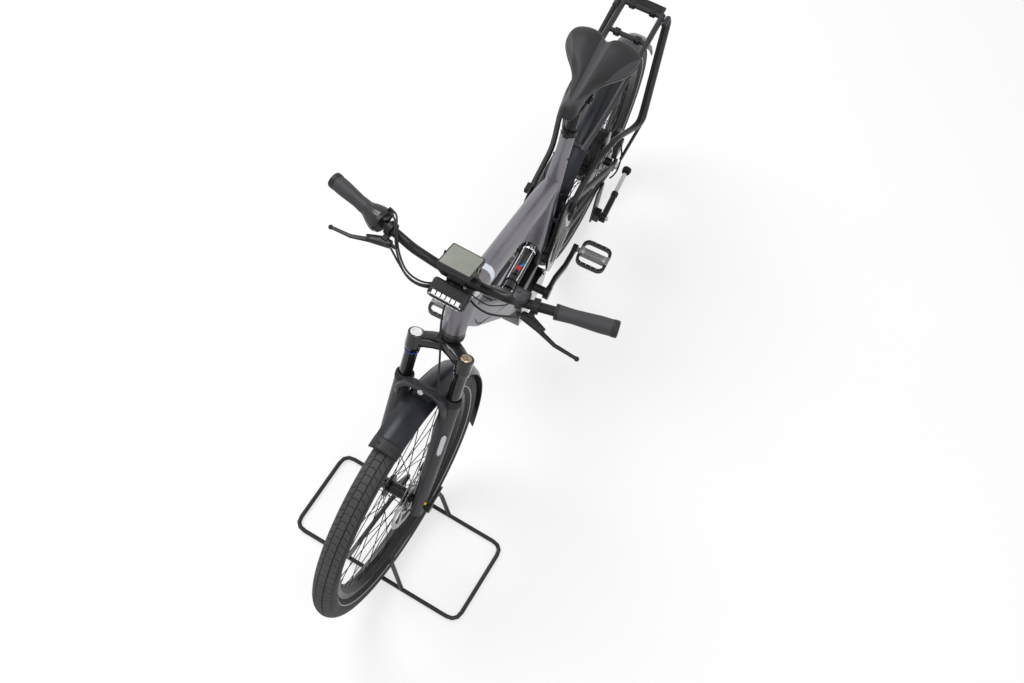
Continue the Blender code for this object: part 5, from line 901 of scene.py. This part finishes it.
def guard_details():
    """Stepped front end, flap, edge rolls and screws of the mudguards, and the wire round the rear one."""
    def at(axle, degrees, out=0.0, y=0.0):
        """A point on a guard's outer skin, by its angle about the axle."""
        return axle + ray(math.radians(degrees)) * (GUARD_RADIUS + out) + LEFT * y

    for name, axle, start, end, body, turn in (("front", FRONT_AXLE, 80, 206, "fork", True),
            ("rear", REAR_AXLE, 9, 160, "frame", False)):
        shape = Shape()
        for side in (1, -1):
            line = [at(axle, start + (end - start) * k / 60, -0.0165, side * 0.0358) for k in range(61)]
            shape.sweep(line, 0.0017, 8, side=LEFT)
        shape.done(f"{name}_guard_edge", body, "guard_plastic", turn=turn)
        for tip, low, high in (("tip", start, start + 5.0), ("tail", end - 5.5, end)):
            cap = Shape()
            rows = []
            for i in range(7):
                angle = low + (high - low) * i / 6
                row = []
                for k in range(17):
                    share = k / 8 - 1
                    row.append(at(axle, angle, 0.0005 - 0.0165 * abs(share) ** 2.6, 0.037 * share))
                rows.append(row)
            cap.skin(rows, ring=False, caps=False)
            thicken(cap.done(f"{name}_guard_{tip}", body, "black_plastic", turn=turn), 0.0014, 1)
        screws = Shape()
        for angle in (start + 2.6, end - 2.8):
            for y in (0.017, -0.017):
                screws.bolt(at(axle, angle, 0.0008, y), at(axle, angle) - axle, 0.0034, 0.0016)
        screws.done(f"{name}_guard_screws", body, "black_satin", turn=turn)
    wire = Shape()
    for side in (1, -1):
        wire.sweep(smooth_line([rear(0.012, side * 0.0765, 0.012), rear(0.11, side * 0.07, 0.105),
            rear(0.215, side * 0.052, 0.2), at(REAR_AXLE, 41, 0.003, side * 0.044),
            at(REAR_AXLE, 38, 0.006, side * 0.04), at(REAR_AXLE, 34, 0.0045, side * 0.03)], 8), 0.0017, 8)
    wire.sweep(smooth_line([at(REAR_AXLE, 34, 0.0045, 0.03), at(REAR_AXLE, 33, 0.0045, 0),
        at(REAR_AXLE, 34, 0.0045, -0.03)], 6), 0.0017, 8)
    wire.done("rear_guard_wire", "frame", "black_satin")


def cockpit_details():
    """Screen, headlight strip, stem bolts, lever parts, buttons and rings at the bar."""
    face, fore = tilted(-14)
    centre = BAR + UP * 0.054
    glass = Shape()
    glass.slab(rounded(0.0325, 0.0375, 0.0035), 0.0012, basis(centre + face * 0.008, fore, face), 0.0003, 2)
    glass.done("display_glass", "fork", "screen", turn=True)
    bezel = Shape()
    outer, inner = rounded(0.0348, 0.0398, 0.0045), rounded(0.0326, 0.0376, 0.0035)
    place = basis(centre + face * 0.0082, fore, face)
    bezel.skin([[place @ Vector((x, y, z)) for x, y in ring] for ring, z in ((outer, -0.001), (outer, 0.0003),
        (inner, 0.0008), (inner, -0.001))], closed=True)
    for k in (-1, 1):
        bezel.slab(rounded(0.003, 0.01, 0.0025), 0.0022,
            basis(centre + face * 0.002 + LEFT * 0.0412 * k, fore, LEFT * k), 0.0006, 2)
    bezel.done("display_bezel", "fork", "black_gloss", turn=True)
    face, fore = tilted(24)
    lamp = bar(0.044, 0, -0.013)
    lens = Shape()
    lens.slab(rounded(0.0385, 0.0085, 0.008), 0.0016, basis(lamp + fore * 0.022, LEFT, fore), 0.0005, 2)
    lens.slot = 1
    for k in range(7):
        spot = lamp + fore * 0.0226 + LEFT * (k - 3) * 0.0102 - face * 0.0005
        lens.lathe([(0.0044, 0), (0.0044, 0.0005), (0.003, 0.0014), (0.0012, 0.0016), (0, 0.0016)], spot,
            fore, 18)
    lens.slot = 2
    lens.slab(rounded(0.04, 0.0018, 0.0016), 0.0014, basis(lamp + fore * 0.0176 + face * 0.0125, LEFT,
        fore + face * 1.2), 0.0004, 1)
    lens.slot = 0
    slope = face + fore * 0.16
    lens.slab(rounded(0.04, 0.0082, 0.0075), 0.003, basis(lamp + fore * 0.0118 + face * 0.0126, LEFT, slope),
        0.0009, 2)
    lens.slot = 1
    for k in range(6):
        lens.slab(rounded(0.0052, 0.0058, 0.0022, 3), 0.002,
            basis(lamp + fore * 0.0118 + face * 0.0138 + LEFT * (k - 2.5) * 0.0118, LEFT, slope), 0.0007, 2)
    lens.done("headlight_lens", "fork", "black_gloss", "lens", "lens", turn=True)
    fins = Shape()
    for k in range(9):
        fins.slab(rounded(0.0085, 0.001, 0.0009, 3), 0.0014,
            basis(lamp + face * 0.013 - fore * 0.0085 + LEFT * (k - 4) * 0.0082, fore, face), 0.0003, 1)
    fins.done("headlight_fins", "fork", "black_gloss", turn=True)
    stem = Shape()
    for side in (1, -1):
        for height in (0.668, 0.688):
            stem.bolt(steer(-0.0215, side * 0.011, height), -STEER_AHEAD + LEFT * side * 0.5, 0.0032, 0.0022)
        for height in (0.008, -0.008):
            stem.bolt(bar(0.0218, side * 0.0155, height), AHEAD, 0.003, 0.002)
    stem.lathe([(0.0205, 0), (0.0205, 0.0012), (0.018, 0.0024), (0.004, 0.0026), (0.0036, 0.0008),
        (0, 0.0008)], steer(0, 0, 0.6983), STEER_UP, 32)
    stem.done("stem_bolts", "fork", "black_satin", turn=True)
    for side, name in ((1, "left"), (-1, "right")):
        way, tip, spot = (flip(point, side) for point in (GRIP_WAY, BAR_END, CLAMP))
        rings = Shape()
        rings.lathe([(0.0187, -0.014), (0.0193, -0.0128), (0.0194, -0.005), (0.0186, -0.0008),
            (0.015, 0.0006), (0.006, 0.0006), (0.0056, 0.0), (0, 0.0)], tip, way, 32)
        if side > 0:
            rings.lathe([(0.015, -0.1388), (0.0172, -0.1386), (0.0178, -0.138), (0.0178, -0.131),
                (0.017, -0.1304)], tip, way, 32)
            rings.bolt(tip - way * 0.135 + Vector((-0.0175, 0, -0.004)), -AHEAD, 0.0024, 0.0016)
        rings.done(f"grip_rings_{name}", "fork", "black_plastic", turn=True)
        bits = Shape()
        body = spot - way * 0.017 + Vector((0.0243, 0, -0.0099))
        hood = spot - way * 0.002 + Vector((0.0304, 0, -0.0122))
        bits.slab(rounded(0.015, 0.0062, 0.0045), 0.0016, basis(hood + UP * 0.0082, way, UP - AHEAD * 0.05),
            0.0004, 2)
        for k in (-1, 1):
            bits.bolt(hood + way * 0.0115 * k + UP * 0.0088, UP, 0.002, 0.001)
        bits.bolt(spot + Vector((0.0135, 0, 0.0068)), UP + AHEAD * 0.4, 0.003, 0.0018)
        bits.bolt(spot + way * 0.0345 + Vector((0.0445, 0, -0.0085)), UP, 0.0048, 0.0018)
        bits.lathe([(0.0042, 0), (0.0042, 0.008), (0.0034, 0.009), (0.0034, 0.014)], body, -way, 16)
        bits.done(f"lever_parts_{name}", "fork", "black_satin", turn=True)
    pad = Shape()
    spot = CLAMP - GRIP_WAY * 0.036 + Vector((0.004, 0, 0.0278))
    pad.slab([(-0.016, -0.014), (0.006, -0.014), (0.0145, 0), (0.006, 0.014), (-0.016, 0.014)], 0.0028,
        basis(spot, AHEAD, UP), 0.001, 2)
    for x, y, size in ((0.004, 0, 0.0048), (-0.009, 0.0075, 0.0038), (-0.009, -0.0075, 0.0038)):
        pad.lathe([(size, 0), (size, 0.0018), (size * 0.8, 0.0026), (0, 0.0024)],
            spot + Vector((x, y, 0.001)), UP, 24)
    pad.done("remote_keys", "fork", "vinyl_mid", turn=True)
    twist = Shape()
    way = flip(GRIP_WAY)
    root = flip(BAR_END) - way * 0.1063
    side = way.orthogonal().normalized()
    for angle in circle(22):
        out = side * math.cos(angle) + way.cross(side) * math.sin(angle)
        twist.sweep([root - way * 0.012 + out * 0.0222, root - way * 0.03 + out * 0.0282,
            root - way * 0.04 + out * 0.0298], 0.0007, 6)
    twist.lathe([(0.0255, -0.0506), (0.0262, -0.05), (0.0262, -0.048), (0.0258, -0.047)], root, way, 40)
    twist.done("shifter_ribs", "fork", "black_plastic", turn=True)
    clip = Shape()
    shifter = flip(BAR_END) - way * 0.158 + Vector((-0.024, 0, 0.016))
    for k in range(2):
        clip.lathe([(0.0036, -0.004), (0.0036, 0.006), (0.0028, 0.008), (0.0028, 0.014)],
            shifter + Vector((0.004 - 0.007 * k, 0, 0.0028 * k)), -way, 16)
    clip.done("cable_ferrules", "fork", "black_satin", turn=True)


def frame_details():
    """Seat clamp bolt, junction bolts, shock fittings and painted glints, yoke covers, motor seams and trims.
    """
    bits = Shape()
    collar = seat(0.5273)
    bits.bolt(collar + SEAT_AHEAD * 0.0255 + LEFT * 0.0075, LEFT, 0.0032, 0.0022)
    bits.lathe([(0.017, -0.0075), (0.0216, -0.0072), (0.0216, -0.006), (0.017, -0.0057)], collar, SEAT_UP, 32)
    for side in (1, -1):
        bits.bolt(seat(0.448, 0.004) + LEFT * side * 0.0206, LEFT * side + SEAT_AHEAD * 0.3, 0.003, 0.0018)
        bits.bolt(seat(0.437, -0.01) + LEFT * side * 0.0212, LEFT * side, 0.0024, 0.0014)
        bits.bolt(rear(0.395, 0, 0.021) + LEFT * side * 0.0518, LEFT * side, 0.0105, 0.0024)
        bits.bolt(rear(0.352, 0, 0.196) + LEFT * side * 0.0565, LEFT * side, 0.0062, 0.0022)
        bits.bolt(seat(0.638) + LEFT * side * 0.0302, LEFT * side, 0.006, 0.0024)
        for ahead, up in ((0.105, 0.03), (0.09, -0.03), (0.02, -0.042), (-0.03, 0.034), (0.06, 0.058)):
            bits.bolt(CRANK + Vector((ahead, side * 0.0497, up)), LEFT * side, 0.0034, 0.002)
    bits.done("frame_bolts", "frame", "black_satin")
    chrome = Shape()
    for side in (1, -1):
        # Painted reflection: two thin chrome lines on the upper flanks of the gloss shock body stand in for
        # its reflections; the bolt heads and the ring are real fittings.
        chrome.sweep([rear(0.42, side * 0.0125, 0.0985), rear(0.545, side * 0.0125, 0.0985)], 0.0014, 10)
        chrome.bolt(rear(0.572, side * 0.0124, 0.08), LEFT * side, 0.007, 0.002)
        chrome.bolt(rear(0.372, side * 0.0124, 0.08), LEFT * side, 0.007, 0.002)
    chrome.lathe([(0.019, -0.002), (0.0196, 0), (0.0196, 0.003), (0.019, 0.005)], rear(0.432, 0, 0.08), AHEAD,
        32)
    chrome.done("shock_fittings_and_painted_glints", "frame", "chrome")
    knob_at = rear(0.514, 0.002, 0.108)
    turned("shock_knob", "frame", "red_knob", [(0.005, -0.012), (0.005, 0.0005), (0.0068, 0.001),
        (0.0068, 0.006), (0.0058, 0.0072), (0.003, 0.0072), (0.0024, 0.0058), (0, 0.0058)], knob_at, UP, 14,
        angle=20)
    lever = Shape()
    lever.slab([(-0.003, -0.002), (0.004, -0.0025), (0.018, -0.0012), (0.018, 0.0012), (0.004, 0.0025),
        (-0.003, 0.002)], 0.0026, basis(knob_at + Vector((-0.01, 0.004, 0.001)), Vector((-1, 0.5, 0.1)), UP),
        0.0006, 2)
    lever.done("shock_lever", "frame", "blue_part")
    for side, name in ((1, "left"), (-1, "right")):
        cover = Shape()
        outline = [(0.318, 0.222), (0.352, 0.232), (0.378, 0.214), (0.396, 0.16), (0.412, 0.098),
            (0.408, 0.086), (0.392, 0.084), (0.372, 0.104), (0.35, 0.15), (0.322, 0.186)]
        cover.slab(outline, 0.0042, side_place(REAR_AXLE.x, side * 0.0545, REAR_AXLE.z, side), 0.0016, 2)
        inner = [(0.366 + (x - 0.366) * 0.72, 0.158 + (y - 0.158) * 0.76) for x, y in outline]
        cover.slot = 1
        cover.slab(inner, 0.0022, side_place(REAR_AXLE.x, side * 0.0563, REAR_AXLE.z, side), 0.0009, 2)
        cover.done(f"yoke_cover_{name}", "frame", "black_gloss", "taupe")
    shield = Shape()
    outline = [(-0.168, 0.418), (-0.176, 0.352), (-0.196, 0.312), (-0.232, 0.296), (-0.29, 0.33),
        (-0.345, 0.372), (-0.322, 0.4), (-0.285, 0.45), (-0.262, 0.505), (-0.246, 0.566), (-0.23, 0.57),
        (-0.206, 0.5)]
    soft_line = [(p.x, p.y) for p in smooth_line([(x, z, 0) for x, z in outline + outline[:1]], 4)[:-1]]
    shield.slab(soft_line, 0.006, side_place(0, 0.0525, 0), 0.0022, 2)
    shield.slot = 1
    shield.slab([(-0.245 + (x + 0.245) * 0.66, 0.405 + (z - 0.405) * 0.72) for x, z in soft_line], 0.0024,
        side_place(0, 0.056, 0), 0.001, 2)
    shield.slot = 2
    for low, high, size in (((-0.2, 0.352), (-0.226, 0.448), 0.0016),
            ((-0.226, 0.338), (-0.252, 0.43), 0.0012), ((-0.262, 0.35), (-0.272, 0.408), 0.0012)):
        middle = ((low[0] + high[0]) / 2 - 0.004, 0.0578, (low[1] + high[1]) / 2)
        shield.sweep([Vector((low[0], 0.0574, low[1])), Vector(middle), Vector((high[0], 0.0574, high[1]))],
            size, 8)
    shield.done("yoke_shield", "frame", "black_gloss", "anthracite", "alloy")
    trim = Shape()
    trim.sweep([rear(0.265, 0.0556, 0.017), rear(0.3, 0.0546, 0.018)], 0.0011, 8)
    trim.done("stay_line", "frame", "blue_ring")
    seam = Shape()
    for side in (1, -1):
        seam.sweep([steer(-0.03, side * 0.0262, 0.556), steer(-0.0725, side * 0.0373, 0.5),
            rear(0.6, side * 0.0402, 0.117)], 0.001, 6)
    seam.done("tube_seams", "frame", "black_satin")
    panel = Shape()
    foot, front = CRANK + Vector((0.13, 0, 0.098)), steer(-0.0145, 0, 0.5588)
    way = (foot - front).normalized()
    normal = LEFT.cross(way)
    normal = normal if normal.z > 0 else -normal
    middle = front.lerp(foot, 0.52) + normal * 0.0382
    for k in (-1, 1):
        panel.bolt(middle + way * 0.046 * k, normal, 0.0036, 0.0012)
    panel.sweep([middle + way * x + LEFT * y for x, y in ((-0.05, -0.024), (0.05, -0.024), (0.05, 0.024),
        (-0.05, 0.024))], 0.0007, 6, closed=True)
    panel.done("cover_trim", "frame", "black_satin")


def rack_details():
    """Clips, ribbed tail plate, tube plugs, reflective strip and wire of the carrier."""
    clips = Shape()
    for back in (0.2082, 0.1):
        for y in (0.03, -0.03):
            clips.slab(rounded(0.0095, 0.0085, 0.003), 0.0155, basis(rear(-back, y, 0.4112), AHEAD, UP),
                0.0022, 2)
            clips.bolt(rear(-back, y, 0.4192), UP, 0.003, 0.001)
    for k in range(9):
        clips.slab(rounded(0.0012, 0.049, 0.001, 2), 0.002,
            basis(rear(-0.212 - 0.0035 * k, 0, 0.4146), AHEAD, UP), 0.0004, 1)
    for side in (1, -1):
        clips.lathe([(0.008, -0.001), (0.0083, 0.0004), (0.006, 0.003), (0, 0.0034)],
            rear(-0.215, side * 0.056, 0.411), -AHEAD, 20)
        clips.slab(rounded(0.013, 0.0075, 0.003), 0.019, basis(rear(0.33, side * 0.0655, 0.201), AHEAD, UP),
            0.0025, 2)
    clips.done("rack_clips", "frame", "black_plastic")
    rods = Shape()
    for side in (1, -1):
        rods.sweep(smooth_line([rear(-0.21, side * 0.066, 0.405), rear(-0.167, side * 0.0755, 0.346),
            rear(-0.107, side * 0.089, 0.263), rear(-0.063, side * 0.099, 0.202),
            rear(-0.038, side * 0.102, 0.182), rear(0.004, side * 0.0985, 0.198),
            rear(0.05, side * 0.091, 0.224), rear(0.086, side * 0.085, 0.2405)], 5), 0.0042, 10)
    rods.done("rack_rods", "frame", "black_satin")
    lamp = Shape()
    spot = rear(-0.2515, 0, 0.3922)
    lamp.slab(rounded(0.013, 0.036, 0.005), 0.002, basis(spot + AHEAD * 0.0008, UP, -AHEAD), 0.0006, 2)
    for k in range(10):
        lamp.slab(rounded(0.0115, 0.0011, 0.001, 2), 0.0014,
            basis(spot - AHEAD * 0.0004 + LEFT * (k - 4.5) * 0.0072, UP, -AHEAD), 0.0003, 1)
    lamp.done("rear_light_lens", "frame", "red_lens")


def wheel_details():
    """Spoke nipples, valves and hub rings."""
    for name, axle, turn in (("front", FRONT_AXLE, True), ("rear", REAR_AXLE, False)):
        body = f"{name}_wheel"
        shape = Shape()
        for i, angle in enumerate(circle(SPOKES)):
            side = 1 if i % 2 == 0 else -1
            way = ray(angle)
            shape.lathe([(0.0015, -0.013), (0.0019, -0.0115), (0.0019, 0.0012), (0.0024, 0.0018)],
                axle + way * 0.2675 + LEFT * side * 0.002, way, 8)
        shape.done(f"{name}_nipples", body, "black_satin", turn=turn)
        way = ray(2 * math.pi * 4.5 / SPOKES)
        turned(f"{name}_valve", body, "alloy", [(0, 0.0), (0.0012, 0.0003), (0.0013, 0.006), (0.0024, 0.0072),
            (0.0025, 0.033), (0.0042, 0.0336), (0.0042, 0.037), (0.0025, 0.0376)], axle + way * 0.2315, way,
            16, turn=turn)
    drum = Shape()
    for side in (1, -1):
        drum.lathe([(0.0805, -0.001), (0.0826, 0), (0.0826, 0.004), (0.0805, 0.005)],
            REAR_AXLE + LEFT * side * 0.028, LEFT * side, 48)
    for angle in circle(16):
        drum.sweep([REAR_AXLE + ray(angle) * 0.0822 + LEFT * y for y in (-0.022, 0.022)], 0.0011, 6)
    drum.done("rear_drum_ribs", "rear_wheel", "black_satin")


def drive_details():
    """Crank caps, pedal pins and bodies, and the kickstand's bolts."""
    for side, name in ((1, "left"), (-1, "right")):
        turned(f"crank_cap_{name}", "crank", "alloy", [(0.013, 0), (0.013, 0.0012), (0.0105, 0.0022),
            (0.005, 0.0022), (0.0044, 0.0004), (0, 0.0004)], CRANK + LEFT * side * 0.0859, LEFT * side, 28)
        centre = CRANK + Vector((-side * 0.17, 0, 0))
        inner, outer = 0.1026, 0.1906
        turned(f"pedal_body_{name}", f"pedal_{name}", "alloy", [(0.0121, 0.004), (0.0126, 0.008),
            (0.01, 0.026), (0.0092, 0.044), (0.01, 0.06), (0.0124, 0.076), (0.012, 0.0795)],
            centre + LEFT * side * inner, LEFT * side, 28)
        pins = Shape()
        spots = [(x, inner + 0.02 + 0.0155 * k) for x in (-0.0392, 0.0392) for k in range(4)]
        spots += [(x, y) for y in (inner + 0.004, outer - 0.004) for x in (-0.013, 0.013)]
        for face in (1, -1):
            for x, y in spots:
                pins.lathe([(0.0018, -0.001), (0.0018, 0.0006), (0.0013, 0.0022), (0, 0.0022)],
                    centre + Vector((x, side * y, face * 0.0069)), UP * face, 10)
        pins.done(f"pedal_pins_{name}", f"pedal_{name}", "steel")
    bolts = Shape()
    bolts.bolt(KICKSTAND + LEFT * 0.0126, LEFT, 0.0068, 0.003)
    for x in (-0.014, 0.014):
        bolts.bolt(Vector((KICKSTAND.x + x, 0.0795, 0.33)), LEFT, 0.004, 0.0024)
    bolts.done("kickstand_bolts", "frame", "steel")
    way = Vector((-0.197, -0.006, -0.01)).normalized()
    turned("kickstand_collar", "kickstand", "black_satin", [(0.0092, 0.088), (0.0104, 0.089), (0.0104, 0.101),
        (0.007, 0.104)], KICKSTAND, way, 24)


scene.view_settings.view_transform = "Standard"
aim_camera()
make_looks()
hoses()
studio()
dress()
tyre("front_tyre_tread", FRONT_AXLE, "front_wheel", True)
tyre("rear_tyre_tread", REAR_AXLE, "rear_wheel", False)
saddle()
brake_disc("front_disc", FRONT_AXLE, 0.0375, "front_wheel", True, "front_rotor")
brake_disc("rear_disc", REAR_AXLE, 0.052, "rear_wheel", False, "rear_rotor")
fork_details()
guard_details()
cockpit_details()
frame_details()
rack_details()
wheel_details()
drive_details()
